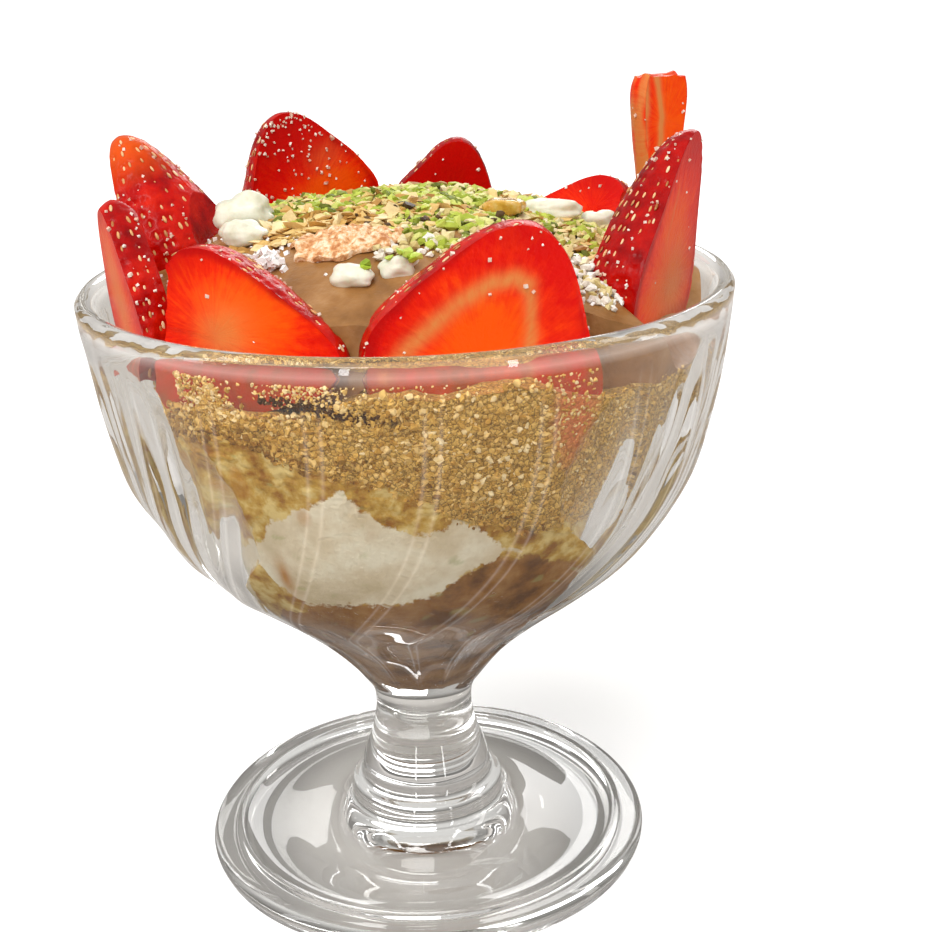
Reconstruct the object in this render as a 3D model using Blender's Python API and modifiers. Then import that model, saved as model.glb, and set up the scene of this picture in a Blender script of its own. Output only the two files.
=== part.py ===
"""Footed dessert glass filled with layered gelato, biscuit crumbs and cut strawberries.

Metres, +Z up, origin at the bottom centre of the foot. The front faces -Y.
"""
import math
import random

import bmesh
import bpy
import numpy as np
from mathutils import Matrix, Vector, noise
from mathutils.bvhtree import BVHTree

MM = 0.001
GAP = 0.3           # mm between pieces that lie against each other
WALL_GAP = 0.4      # mm between the filling and the glass where it reaches the wall
MERGE = 0.00005     # m, distance at which the points of a turned shape's poles are joined

# Glass: radius and height in mm, from the cavity's bottom over the rim and down to the foot
GLASS_STEPS = 60
FLUTES = 20
FLUTE_DEPTH = 0.8
FLUTE_TWIST = 24.0
FLUTE_TOP = 104.0
FLUTE_BOTTOM = 34.0
FLUTE_START = 8.0
FLUTE_END = 10.0
RIDGE_ANGLE = -87.0
CAVITY = [(0, 34.8), (4, 35.4), (8.2, 37.8), (14.5, 43), (22.1, 50), (28, 55.5), (34.8, 62), (41, 70),
          (46, 80), (49.4, 90), (51.5, 100), (52.4, 107)]
RIM_BEAD = [(53.1, 108.6), (54.6, 109.1), (55.8, 107.8)]
BOWL_OUTSIDE = [(55.3, 102), (54.4, 94), (52.6, 85), (50.2, 76.4), (46.3, 69), (40.3, 61),
                (33, 54.6), (26, 49), (20.3, 44), (16.4, 40), (12.3, 35), (9.4, 30.5)]
STEM = [(9, 27), (9.8, 22), (11.8, 15.8), (12.7, 12.4), (14.1, 11.2), (14.6, 8)]
FOOT = [(17.5, 5.4), (24, 4.2), (35, 3.5), (35.9, 4.1), (37.2, 3.5), (40.6, 3.3), (41.5, 1.8),
        (40.9, 0), (0, 0)]
TWIST_LENGTH = 50.0     # mm of height over which the flutes take up their twist, ever faster
TWIST_EASE = 3

# Layers: heights in mm where they meet the glass, by azimuth in degrees from the front, + towards +X
CHOCOLATE_TOP = [(-180, 60), (-120, 58), (-70, 56), (-30, 60), (-5, 64), (20, 66), (60, 63), (120, 60)]
WHITE_TOP = [(-180, 72), (-120, 69), (-70, 68), (-32, 76), (-12, 81), (8, 80), (22, 74), (45, 67), (110, 68)]
SPONGE_TOP = [(-180, 80), (-120, 82), (-70, 88), (-40, 91), (-24, 89), (-12, 83.5), (8, 83), (30, 78),
              (60, 74), (120, 76)]
CRUMB_TOP = [(-180, 99), (-120, 98), (-60, 98.5), (-22, 99), (-6, 102.5), (20, 102.5), (34, 99), (120, 98)]
LAYER_AZIMUTHS = 32
RING_SHARES = (0.35, 0.7, 1.0)
FLOOR_RADIUS = 15.0
DOME_EDGE = 106.0
DOME_RISE = 16.2
DOME_RADIUS = 53.0
DOME_AZIMUTHS = 36
DOME_FRONT_RADIUS = 44.5
DOME_SWELL = 0.5

# The filling stands off the glass at its left and right sides: most width of the gap in mm
LEFT_STANDOFF = 8.5
RIGHT_STANDOFF = 6.0

# Strawberries, mm: middle of the stem end, tip, width, fullness towards the tip, way the cut face looks
# (azimuth in degrees from the front, and lift), where the face and the back are cut, stem end cut off
BERRIES = {
    "strawberry_1": ((-38.6, -31.6, 110.4), (-8.8, -45.3, 105.5), 25.5, 0.54, -25, 0, 1.5, 9, 0.08),
    "strawberry_2": ((5.6, -43.1, 91), (18.8, -39.6, 124.4), 36, 0.64, 11, 4, 2.5, 11, 0.05),
    "strawberry_3": ((38.3, -22, 99), (46, -17, 133.8), 27, 0.53, 62, 0, 0.8, 8.5, 0.05),
    "strawberry_4": ((46, 15, 144.5), (45, 14, 106), 10, 0.52, 28, 0, 2.2, 2.2, 0.12),
    "strawberry_5": ((42.3, 22.5, 113.4), (25, 36, 112.2), 14.5, 0.55, 35, 10, 2, 6, 0.05),
    "strawberry_6": ((6, 41.5, 104), (11.8, 41, 126.4), 22, 0.6, 10, 20, 2, 6, 0.05),
    "strawberry_7": ((-15.5, 38.5, 106), (-23, 35.5, 132.6), 30, 0.55, 30, 10, 1, 8.5, 0.05),
    "strawberry_8": ((-36, 2, 102), (-47.6, 6, 133), 22, 0.66, -110, 15, 1, 9, 0.05),
    "strawberry_9": ((-40.8, -21.4, 97), (-45.4, -18.6, 126.3), 20, 0.6, -67, 0, 2.2, 3, 0.08),
}
BERRY_STEPS = 16
BERRY_RINGS = 9
BERRY_LUMP = 0.35
LUMP_SPACING = 7.0

# Pockets that the gelato and the crumbs leave for the berries and the toppings, mm round each piece
POCKET_STEPS = 10
POCKET_RINGS = 8
BERRY_POCKET = 0.75
TOPPING_POCKET = 0.4

# Large toppings, mm: middle, length, width, height, turn about +Z in degrees
CREAM_PIECES = {
    "white_piece_1": ((-26, -3.5, 120.8), 10, 7.5, 6, 10),
    "white_piece_2": ((-26.4, -11.2, 118.8), 8.5, 5.5, 4.5, -15),
    "white_piece_3": ((-8, -33.3, 115.8), 7.5, 5, 4, -35),
    "white_piece_4": ((-1, -31.8, 116.6), 6, 4.5, 4, 20),
    "white_piece_5": ((24.5, -3.5, 119.6), 10, 5, 3.5, -15),
    "white_piece_6": ((33, -1.5, 117), 6, 4.5, 4, 30),
}
BISCUIT_FLAKE = {"centre": (-9.6, -22.8, 119.6), "length": 17.5, "width": 11, "thick": 1.1,
                 "droop": 0.0115, "ripple": 0.4, "tilt": (13, -7, -8)}
AMBER_PIECE = {"centre": (16.6, -8.5, 121.3), "size": (7.5, 4.5, 3), "turn": -20}
SUGAR_CRYSTAL = {"centre": (-20.9, -25.2, 117.3), "size": (5.4, 4, 3), "turn": 15}

# Chopped nuts fused to the dome
NUT_COUNT = 42
NUT_TRIES = 1500
NUT_SIZE = (1.5, 2.9)
NUT_PROUD = 0.08        # share of its size by which a nut's middle stands above the gelato
NUT_FIELD = {"centre": (3, -6), "half_x": 30, "half_y": 21}
NUT_SEED = 11


def mesh_object(name, mesh, material, collection):
    """Link a new object that holds a mesh and one material."""
    obj = bpy.data.objects.new(name, mesh)
    collection.objects.link(obj)
    mesh.materials.clear()
    mesh.materials.append(material)
    return obj


def plain_material(name, colour, roughness, metallic=0.0, transmission=0.0):
    """Principled material of one finish."""
    material = bpy.data.materials.new(name)
    material.use_nodes = True
    shader = material.node_tree.nodes["Principled BSDF"]
    shader.inputs["Base Color"].default_value = (*colour, 1.0)
    shader.inputs["Roughness"].default_value = roughness
    shader.inputs["Metallic"].default_value = metallic
    shader.inputs["Transmission Weight"].default_value = transmission
    material.diffuse_color = (*colour, 1.0)
    return material


def apply_modifiers(obj):
    """Replace an object's mesh by its evaluated mesh."""
    depsgraph = bpy.context.evaluated_depsgraph_get()
    mesh = bpy.data.meshes.new_from_object(obj.evaluated_get(depsgraph))
    obj.modifiers.clear()
    obj.data = mesh


def cut_or_join(obj, other, operation, solver="EXACT"):
    """Boolean with one object or one collection, applied at once."""
    modifier = obj.modifiers.new(operation.lower(), "BOOLEAN")
    modifier.operation = operation
    modifier.solver = solver
    if isinstance(other, bpy.types.Collection):
        modifier.operand_type = "COLLECTION"
        modifier.collection = other
    else:
        modifier.object = other
    apply_modifiers(obj)


def keep_largest_body(obj):
    """Drop the loose scraps that a cut leaves beside the main body."""
    bm = bmesh.new()
    bm.from_mesh(obj.data)
    bmesh.ops.remove_doubles(bm, verts=bm.verts, dist=0.000001)
    unseen = set(bm.verts)
    bodies = []
    while unseen:
        edge_of_body = [unseen.pop()]
        body = set(edge_of_body)
        while edge_of_body:
            vertex = edge_of_body.pop()
            for edge in vertex.link_edges:
                neighbour = edge.other_vert(vertex)
                if neighbour in unseen:
                    unseen.remove(neighbour)
                    body.add(neighbour)
                    edge_of_body.append(neighbour)
        bodies.append(body)
    bodies.sort(key=len)
    scraps = [vertex for body in bodies[:-1] for vertex in body]
    bmesh.ops.delete(bm, geom=scraps, context="VERTS")
    bm.to_mesh(obj.data)
    bm.free()


def smooth_shading(obj, sharp_degrees=40):
    """Smooth shading with edges sharper than the angle kept crisp."""
    obj.data.shade_smooth()
    obj.data.set_sharp_from_angle(angle=math.radians(sharp_degrees))


def profile_radius(points, height):
    """Radius of a turned profile at a height, straight between its points."""
    ordered = sorted((z, r) for r, z in points)
    return np.interp(height, [z for z, _ in ordered], [r for _, r in ordered])


def build_glass(material, collection):
    """Turned bowl, stem and foot, with twisted flutes pressed into the outside of the bowl."""
    outline = CAVITY + RIM_BEAD + BOWL_OUTSIDE + STEM + FOOT
    mesh = bpy.data.meshes.new("glass")
    points = [(r * MM, 0.0, z * MM) for r, z in outline]
    mesh.from_pydata(points, [(i, i + 1) for i in range(len(points) - 1)], [])
    glass = mesh_object("glass", mesh, material, collection)
    screw = glass.modifiers.new("turn", "SCREW")
    screw.axis = "Z"
    screw.steps = GLASS_STEPS
    screw.render_steps = GLASS_STEPS
    screw.use_merge_vertices = True
    screw.merge_threshold = MERGE
    apply_modifiers(glass)
    glass.data.transform(Matrix.Rotation(math.radians(RIDGE_ANGLE), 4, "Z"))
    press_flutes(glass.data)
    smooth_shading(glass, 30)
    return glass


def press_flutes(mesh):
    """Move the bowl's outer points: in between the ridges, and round the axis by the twist."""
    count = len(mesh.vertices)
    flat = np.empty(count * 3)
    mesh.vertices.foreach_get("co", flat)
    x, y, z = (flat.reshape(count, 3) / MM).T
    radius = np.hypot(x, y)
    angle = np.arctan2(y, x)
    wall_middle = profile_radius(CAVITY, z) * 0.5 + profile_radius(BOWL_OUTSIDE + RIM_BEAD[-1:], z) * 0.5
    outside = radius > wall_middle
    rise = np.clip((FLUTE_TOP - z) / FLUTE_START, 0, 1)
    fade = np.clip((z - FLUTE_BOTTOM) / FLUTE_END, 0, 1)
    ridge = (np.cos(FLUTES * (angle - math.radians(RIDGE_ANGLE))) + 0.5) / 1.5
    depth = FLUTE_DEPTH * rise * fade * (1 - ridge)
    twist = np.radians(FLUTE_TWIST) * np.clip((FLUTE_TOP - z) / TWIST_LENGTH, 0, 1) ** TWIST_EASE
    radius = np.where(outside & (z > FLUTE_BOTTOM), radius - depth, radius)
    angle = np.where(outside, angle - twist, angle)
    moved = np.stack([radius * np.cos(angle), radius * np.sin(angle), z], axis=1) * MM
    mesh.vertices.foreach_set("co", moved.ravel())
    mesh.update()


def around(table, azimuth):
    """Height from a table of azimuths, eased between its rows and closed at 360 degrees."""
    rows = sorted(table)
    rows.append((rows[0][0] + 360, rows[0][1]))
    azimuth = (azimuth - rows[0][0]) % 360 + rows[0][0]
    for (start, low), (end, high) in zip(rows, rows[1:]):
        if azimuth <= end:
            share = (azimuth - start) / (end - start)
            eased = share * share * (3 - 2 * share)
            return low + (high - low) * eased
    return rows[-1][1]


def ramp(value, start, end):
    """0 at start, 1 at end, straight between."""
    return min(max((value - start) / (end - start), 0), 1)


def filling_radius(azimuth, height):
    """Outer radius of the filling in mm: the cavity less a gap, less the stand-off at the sides."""
    from_middle = abs(abs(azimuth) - 90)
    if azimuth < 0:
        standoff = LEFT_STANDOFF * ramp(from_middle, 48, 18) * ramp(height, 44, 60)
    else:
        upper = 1 - 0.95 * ramp(height, 70, 91)
        standoff = RIGHT_STANDOFF * ramp(from_middle, 42, 18) * ramp(height, 44, 58) * upper
    return float(profile_radius(CAVITY, height)) - WALL_GAP - standoff


def interface(table, ripple):
    """Surface between two layers: height in mm at an azimuth and a share of the radius."""
    middle = sum(around(table, azimuth) for azimuth in range(-180, 180, 20)) / 18

    def height(azimuth, share):
        at_wall = around(table, azimuth)
        wave = ripple * math.sin(math.radians(azimuth * 5)) * math.sin(share * math.pi)
        return middle + (at_wall - middle) * share ** 1.5 + wave

    return height


def dome_reach(azimuth, height=DOME_EDGE):
    """Outer radius of the gelato, which stays behind the two berries that stand in front."""
    front = ramp(azimuth, -58, -48) * ramp(azimuth, 44, 34)
    full = filling_radius(azimuth, height)
    return full - front * max(full - DOME_FRONT_RADIUS, 0)


def dome_surface(x, y):
    """Height of the gelato in mm over a point: a paraboloid with soft swells."""
    share = math.hypot(x, y) / DOME_RADIUS
    swell = DOME_SWELL * math.sin(3 * math.atan2(x, -y) + 1) * math.sin(share * math.pi)
    return DOME_EDGE + DOME_RISE * (1 - share * share) + swell


def dome_height(azimuth, share):
    """Height of the gelato at an azimuth and a share of its reach."""
    radius = share * dome_reach(azimuth)
    angle = math.radians(azimuth)
    return dome_surface(radius * math.sin(angle), -radius * math.cos(angle))


def loft_layer(name, lower, upper, material, collection, azimuths=LAYER_AZIMUTHS, side_rings=2,
               reach=filling_radius, top_shares=RING_SHARES):
    """Closed solid between two interfaces: rings out along the lower one, up the side, back in on top."""
    bm = bmesh.new()
    rings = []
    steps = [(share, 0) for share in RING_SHARES]
    steps += [(1.0, i / side_rings) for i in range(1, side_rings)]
    steps += [(share, 1) for share in reversed(top_shares)]
    for share, lift in steps:
        ring = []
        for i in range(azimuths):
            azimuth = -180 + 360 * i / azimuths
            bottom = lower(azimuth, share) + GAP / 2
            top = upper(azimuth, share) - GAP / 2
            edge_bottom = lower(azimuth, 1) + GAP / 2
            edge_top = upper(azimuth, 1) - GAP / 2
            height = bottom + (top - bottom) * lift
            edge = edge_bottom + (edge_top - edge_bottom) * lift
            radius = reach(azimuth, edge) * share
            angle = math.radians(azimuth)
            place = Vector((radius * math.sin(angle), -radius * math.cos(angle), height))
            ring.append(bm.verts.new(place * MM))
        rings.append(ring)
    for low, high in zip(rings, rings[1:]):
        for i in range(azimuths):
            j = (i + 1) % azimuths
            bm.faces.new((low[i], low[j], high[j], high[i]))
    bottom_middle = bm.verts.new((0, 0, (lower(0, 0) + GAP / 2) * MM))
    top_middle = bm.verts.new((0, 0, (upper(0, 0) - GAP / 2) * MM))
    for i in range(azimuths):
        j = (i + 1) % azimuths
        bm.faces.new((rings[0][j], rings[0][i], bottom_middle))
        bm.faces.new((rings[-1][i], rings[-1][j], top_middle))
    bmesh.ops.triangulate(bm, faces=bm.faces)
    bmesh.ops.recalc_face_normals(bm, faces=bm.faces)
    mesh = bpy.data.meshes.new(name)
    bm.to_mesh(mesh)
    bm.free()
    layer = mesh_object(name, mesh, material, collection)
    smooth_shading(layer)
    return layer


def cavity_floor(azimuth, share):
    """Underside of the lowest layer, which follows the bottom of the cavity."""
    radius = FLOOR_RADIUS * share
    return float(np.interp(radius, [r for r, _ in CAVITY], [z for _, z in CAVITY])) + GAP / 2


def axis_frame(stem, tip, face_azimuth, face_lift):
    """Matrix whose Z runs from stem end to tip and whose Y points out of the cut face."""
    along = (tip - stem).normalized()
    azimuth = math.radians(face_azimuth)
    lift = math.radians(face_lift)
    look = Vector((math.sin(azimuth) * math.cos(lift), -math.cos(azimuth) * math.cos(lift), math.sin(lift)))
    out = (look - along * look.dot(along)).normalized()
    across = out.cross(along)
    return Matrix((across, out, along)).transposed().to_4x4()


def strawberry(name, spec, material, collection, grow=0.0, steps=BERRY_STEPS, rings=BERRY_RINGS):
    """Turned berry with low lumps, cut flat in front, behind and at the stem end."""
    stem, tip, width, fullness, face_azimuth, face_lift, front, back, stem_cut = spec
    stem = Vector(stem)
    tip = Vector(tip)
    length = (tip - stem).length
    round_outside = math.cos(math.pi / BERRY_STEPS) / math.cos(math.pi / steps)
    profile = []
    for i in range(rings + 1):
        share = 1 - i / rings
        swell = math.sin(math.pi * share ** fullness) if 0 < share < 1 else 0.0
        radius = (width / 2 * round_outside + grow) * swell ** 0.85
        height = length * share + grow * (2 * share - 1)
        profile.append((radius * MM, 0.0, height * MM))
    mesh = bpy.data.meshes.new(name)
    mesh.from_pydata(profile, [(i, i + 1) for i in range(len(profile) - 1)], [])
    berry = mesh_object(name, mesh, material, collection)
    screw = berry.modifiers.new("turn", "SCREW")
    screw.axis = "Z"
    screw.steps = steps
    screw.render_steps = steps
    screw.use_merge_vertices = True
    screw.merge_threshold = MERGE
    apply_modifiers(berry)
    for vertex in berry.data.vertices:
        lump = noise.noise(vertex.co / (LUMP_SPACING * MM) + tip)
        vertex.co += vertex.normal * lump * BERRY_LUMP * MM
    bm = bmesh.new()
    bm.from_mesh(berry.data)
    cuts = [((0, (front + grow) * MM, 0), (0, 1, 0)),
            ((0, -(back + grow) * MM, 0), (0, -1, 0)),
            ((0, 0, (stem_cut * length - grow) * MM), (0, 0, -1))]
    for place, normal in cuts:
        geometry = bm.verts[:] + bm.edges[:] + bm.faces[:]
        result = bmesh.ops.bisect_plane(bm, geom=geometry, plane_co=place, plane_no=normal, clear_outer=True,
                                        dist=0.00002)
        rim = [item for item in result["geom_cut"] if isinstance(item, bmesh.types.BMEdge)]
        if rim:
            bmesh.ops.holes_fill(bm, edges=rim, sides=0)
    bmesh.ops.remove_doubles(bm, verts=bm.verts, dist=0.00005)
    bmesh.ops.triangulate(bm, faces=bm.faces)
    bmesh.ops.recalc_face_normals(bm, faces=bm.faces)
    bm.transform(Matrix.Translation(stem * MM) @ axis_frame(stem, tip, face_azimuth, face_lift))
    bm.to_mesh(berry.data)
    bm.free()
    smooth_shading(berry)
    return berry


def lumpy_piece(name, spec, material, collection, grow=0.0, segments=8, rings=6):
    """Squashed ball with soft lumps, for a piece of cream."""
    centre, length, width, height, turn = spec
    bm = bmesh.new()
    bmesh.ops.create_uvsphere(bm, u_segments=segments, v_segments=rings, radius=1.0)
    for vertex in bm.verts:
        lump = 1 + 0.16 * noise.noise(vertex.co * 1.3 + Vector(centre))
        half = Vector((length / 2 + grow, width / 2 + grow, height / 2 + grow))
        vertex.co = Vector(a * b for a, b in zip(vertex.co, half)) * lump * MM
    bmesh.ops.triangulate(bm, faces=bm.faces)
    bm.transform(Matrix.Translation(Vector(centre) * MM) @ Matrix.Rotation(math.radians(turn), 4, "Z"))
    mesh = bpy.data.meshes.new(name)
    bm.to_mesh(mesh)
    bm.free()
    piece = mesh_object(name, mesh, material, collection)
    smooth_shading(piece)
    return piece


def angular_piece(name, spec, material, collection, grow=0.0):
    """Block with leaning faces and one bevel, for candied fruit or a sugar crystal."""
    centre, size = spec["centre"], spec["size"]
    bm = bmesh.new()
    bmesh.ops.create_cube(bm, size=1.0)
    for vertex in bm.verts:
        lean = 0.8 + 0.35 * noise.noise(vertex.co * 2.1 + Vector(centre))
        vertex.co = Vector(a * (b * lean + 2 * grow) * MM for a, b in zip(vertex.co, size))
    bmesh.ops.bevel(bm, geom=bm.edges[:], offset=0.5 * MM, segments=1, affect="EDGES")
    bmesh.ops.triangulate(bm, faces=bm.faces)
    turn = Matrix.Rotation(math.radians(spec["turn"]), 4, "Z")
    bm.transform(Matrix.Translation(Vector(centre) * MM) @ turn)
    mesh = bpy.data.meshes.new(name)
    bm.to_mesh(mesh)
    bm.free()
    return mesh_object(name, mesh, material, collection)


def biscuit_flake(name, spec, material, collection, grow=0.0):
    """Thin curved flake with an uneven outline, thickened from one sheet."""
    half_length = spec["length"] / 2 + grow
    half_width = spec["width"] / 2 + grow
    bm = bmesh.new()
    bmesh.ops.create_grid(bm, x_segments=8, y_segments=4, size=1.0)
    for vertex in bm.verts:
        x, y = vertex.co.x, vertex.co.y
        ragged = 1 + 0.18 * math.sin(5 * x + 2 * y) * abs(y)
        x_mm = x * half_length
        y_mm = y * half_width * math.sqrt(max(1 - 0.8 * x * x, 0.05)) * ragged
        ripple = spec["ripple"] * math.sin(0.7 * x_mm) * math.cos(0.6 * y_mm)
        z_mm = ripple - spec["droop"] * (x_mm * x_mm + y_mm * y_mm)
        vertex.co = Vector((x_mm, y_mm, z_mm)) * MM
    mesh = bpy.data.meshes.new(name)
    bm.to_mesh(mesh)
    bm.free()
    flake = mesh_object(name, mesh, material, collection)
    solidify = flake.modifiers.new("thickness", "SOLIDIFY")
    solidify.thickness = (spec["thick"] + 2 * grow) * MM
    solidify.offset = 0.0
    apply_modifiers(flake)
    tilt_x, tilt_y, turn = (math.radians(angle) for angle in spec["tilt"])
    tilt = Matrix.Rotation(tilt_x, 4, "X") @ Matrix.Rotation(tilt_y, 4, "Y")
    place = Matrix.Translation(Vector(spec["centre"]) * MM)
    flake.data.transform(place @ Matrix.Rotation(turn, 4, "Z") @ tilt)
    smooth_shading(flake)
    return flake


def scatter_nuts(collection, material, pockets):
    """Chopped nuts over the middle of the dome, each clear of the pockets and of the other nuts."""
    rng = random.Random(NUT_SEED)
    centre_x, centre_y = NUT_FIELD["centre"]
    trees = []
    for pocket in pockets:
        bm = bmesh.new()
        bm.from_mesh(pocket.data)
        trees.append(BVHTree.FromBMesh(bm))
        bm.free()
    placed = 0
    for _ in range(NUT_TRIES):
        if placed == NUT_COUNT:
            break
        x = centre_x + rng.uniform(-1, 1) * NUT_FIELD["half_x"]
        y = centre_y + rng.uniform(-1, 1) * NUT_FIELD["half_y"]
        reach = ((x - centre_x) / NUT_FIELD["half_x"]) ** 2 + ((y - centre_y) / NUT_FIELD["half_y"]) ** 2
        if reach > 1:
            continue
        size = rng.uniform(*NUT_SIZE)
        height = dome_surface(x, y) + NUT_PROUD * size
        bm = bmesh.new()
        bmesh.ops.create_cube(bm, size=0.85 * size)
        stretch = Vector((rng.uniform(0.8, 1.3), rng.uniform(0.6, 1.0), rng.uniform(0.5, 0.8)))
        for vertex in bm.verts:
            vertex.co = Vector(a * b for a, b in zip(vertex.co, stretch)) * rng.uniform(0.85, 1.15)
        turn = Matrix.Rotation(rng.uniform(0, math.tau), 4, "Z")
        tilt = Matrix.Rotation(rng.uniform(-0.4, 0.4), 4, "X")
        bm.transform(Matrix.Scale(MM, 4) @ Matrix.Translation((x, y, height)) @ turn @ tilt)
        tree = BVHTree.FromBMesh(bm)
        if any(tree.overlap(other) for other in trees):
            bm.free()
            continue
        trees.append(tree)
        mesh = bpy.data.meshes.new("nut")
        bm.to_mesh(mesh)
        bm.free()
        mesh_object("nut", mesh, material, collection)
        placed += 1


def main():
    for obj in list(bpy.data.objects):
        bpy.data.objects.remove(obj, do_unlink=True)
    dessert = bpy.data.collections.new("gelato_cup")
    cutters = bpy.data.collections.new("cutters")
    toppings = bpy.data.collections.new("toppings")
    for collection in (dessert, cutters, toppings):
        bpy.context.scene.collection.children.link(collection)

    clear_glass = plain_material("clear_glass", (0.93, 0.95, 0.94), 0.03, transmission=1.0)
    chocolate = plain_material("chocolate_cream", (0.36, 0.2, 0.11), 0.4)
    white_cream = plain_material("white_cream", (0.86, 0.82, 0.72), 0.4)
    sponge = plain_material("sponge", (0.72, 0.52, 0.22), 0.7)
    crumbs = plain_material("biscuit_crumbs", (0.66, 0.47, 0.24), 0.9)
    gelato = plain_material("gelato", (0.52, 0.36, 0.28), 0.35)
    fruit = plain_material("strawberry", (0.78, 0.06, 0.03), 0.3)
    flake_finish = plain_material("biscuit_flake", (0.78, 0.55, 0.35), 0.8)
    amber = plain_material("candied_fruit", (0.8, 0.5, 0.1), 0.3)
    crystal = plain_material("sugar_crystal", (0.9, 0.9, 0.92), 0.15)

    build_glass(clear_glass, dessert)
    chocolate_top = interface(CHOCOLATE_TOP, 0.8)
    white_top = interface(WHITE_TOP, 1.0)
    sponge_top = interface(SPONGE_TOP, 0.8)
    crumb_top = interface(CRUMB_TOP, 0.6)
    loft_layer("chocolate_cream", cavity_floor, chocolate_top, chocolate, dessert, side_rings=4)
    loft_layer("white_cream", chocolate_top, white_top, white_cream, dessert)
    loft_layer("sponge_layer", white_top, sponge_top, sponge, dessert)
    crumb_layer = loft_layer("crumb_layer", sponge_top, crumb_top, crumbs, dessert)
    dome = loft_layer("gelato_dome", crumb_top, dome_height, gelato, dessert, azimuths=DOME_AZIMUTHS,
                      reach=dome_reach, top_shares=(0.2, 0.4, 0.6, 0.8, 1.0))

    pockets = []
    for name, spec in BERRIES.items():
        strawberry(name, spec, fruit, dessert)
        pockets.append(strawberry(name + "_pocket", spec, fruit, cutters, BERRY_POCKET, POCKET_STEPS,
                                  POCKET_RINGS))
    for name, spec in CREAM_PIECES.items():
        lumpy_piece(name, spec, white_cream, dessert)
        pockets.append(lumpy_piece(name + "_pocket", spec, white_cream, cutters, TOPPING_POCKET))
    biscuit_flake("biscuit_flake", BISCUIT_FLAKE, flake_finish, dessert)
    pockets.append(biscuit_flake("flake_pocket", BISCUIT_FLAKE, flake_finish, cutters, TOPPING_POCKET))
    angular_piece("amber_piece", AMBER_PIECE, amber, dessert)
    pockets.append(angular_piece("amber_pocket", AMBER_PIECE, amber, cutters, TOPPING_POCKET))
    angular_piece("sugar_crystal", SUGAR_CRYSTAL, crystal, dessert)
    pockets.append(angular_piece("crystal_pocket", SUGAR_CRYSTAL, crystal, cutters, TOPPING_POCKET))

    # These cuts graze each other's edges: the exact solver leaves open edges there, the manifold one none
    for pocket in pockets:
        cut_or_join(dome, pocket, "DIFFERENCE", solver="MANIFOLD")
    for pocket in pockets[:len(BERRIES)]:
        cut_or_join(crumb_layer, pocket, "DIFFERENCE", solver="MANIFOLD")
    scatter_nuts(toppings, gelato, pockets)
    cut_or_join(dome, toppings, "UNION", solver="MANIFOLD")
    for nut in list(toppings.objects):
        bpy.data.objects.remove(nut, do_unlink=True)
    for layer in (dome, crumb_layer):
        keep_largest_body(layer)
        smooth_shading(layer)
    for pocket in pockets:
        pocket.hide_render = True
        pocket.display_type = "WIRE"


main()
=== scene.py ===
# A footed fluted glass of gelato with strawberries: fine surfaces, finishes, floor, light and camera.
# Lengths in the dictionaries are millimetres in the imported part's frame; azimuths are degrees from the front (-Y),
# positive towards +X.
import math

import bmesh
import bpy
import numpy as np
from mathutils import Matrix, Vector


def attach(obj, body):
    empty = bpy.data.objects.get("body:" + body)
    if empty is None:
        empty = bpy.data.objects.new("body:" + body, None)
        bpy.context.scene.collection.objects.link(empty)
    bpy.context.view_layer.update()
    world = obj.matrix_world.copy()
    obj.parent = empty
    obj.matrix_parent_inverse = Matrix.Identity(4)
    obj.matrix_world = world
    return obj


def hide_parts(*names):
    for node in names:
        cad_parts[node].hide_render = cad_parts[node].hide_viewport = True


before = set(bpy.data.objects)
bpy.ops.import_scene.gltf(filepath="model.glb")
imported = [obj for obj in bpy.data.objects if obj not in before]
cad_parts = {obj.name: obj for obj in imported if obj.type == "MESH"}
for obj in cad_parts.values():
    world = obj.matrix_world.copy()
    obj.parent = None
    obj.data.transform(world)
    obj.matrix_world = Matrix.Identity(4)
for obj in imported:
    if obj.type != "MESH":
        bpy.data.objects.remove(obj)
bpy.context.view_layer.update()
mm = 0.001
print("frame loaded:", len(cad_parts), "nodes")


# Number work shared by the pieces

def hashValue(ix, iy, iz, seed):  # one repeatable number from 0 to 1 for each whole-number lattice point
    h = (ix * 73856093 ^ iy * 19349663 ^ iz * 83492791 ^ seed * 2654435761) & 0xFFFFFFFF
    h = ((h ^ (h >> 16)) * 0x45D9F3B) & 0xFFFFFFFF
    h = ((h ^ (h >> 16)) * 0x45D9F3B) & 0xFFFFFFFF
    return ((h ^ (h >> 16)) & 0xFFFF) / 65535


def softNoise(points, cell, seed):  # lattice values blended by 3 f^2 - 2 f^3 along each axis, from -1 to 1
    q = np.asarray(points, float) / cell
    base = np.floor(q).astype(np.int64)
    f = q - base
    f = f * f * (3 - 2 * f)
    total = np.zeros(q.shape[:-1])
    for corner in np.ndindex(2, 2, 2):
        weight = np.prod(np.where(np.array(corner) == 1, f, 1 - f), axis=-1)
        i = base + np.array(corner)
        total += weight * hashValue(i[..., 0], i[..., 1], i[..., 2], seed)
    return total * 2 - 1


def grains(points, cell, seed):  # one random point in each cell: the distance to the nearest, over the cell's size
    q = np.asarray(points, float) / cell
    base = np.floor(q).astype(np.int64)
    nearest = np.full(q.shape[:-1], 9.0)
    for step in np.ndindex(3, 3, 3):
        i = base + np.array(step) - 1
        offset = np.stack([hashValue(i[..., 0], i[..., 1], i[..., 2], seed + k) for k in range(3)], axis=-1)
        nearest = np.minimum(nearest, np.linalg.norm(i + offset - q, axis=-1))
    return nearest


def ramp(value, start, end):  # 0 at start, 1 at end, eased by 3 s^2 - 2 s^3
    s = np.clip((value - start) / (end - start), 0, 1)
    return s * s * (3 - 2 * s)


def line(value, start, end):  # 0 at start, 1 at end, straight between
    return np.clip((value - start) / (end - start), 0, 1)


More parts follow.
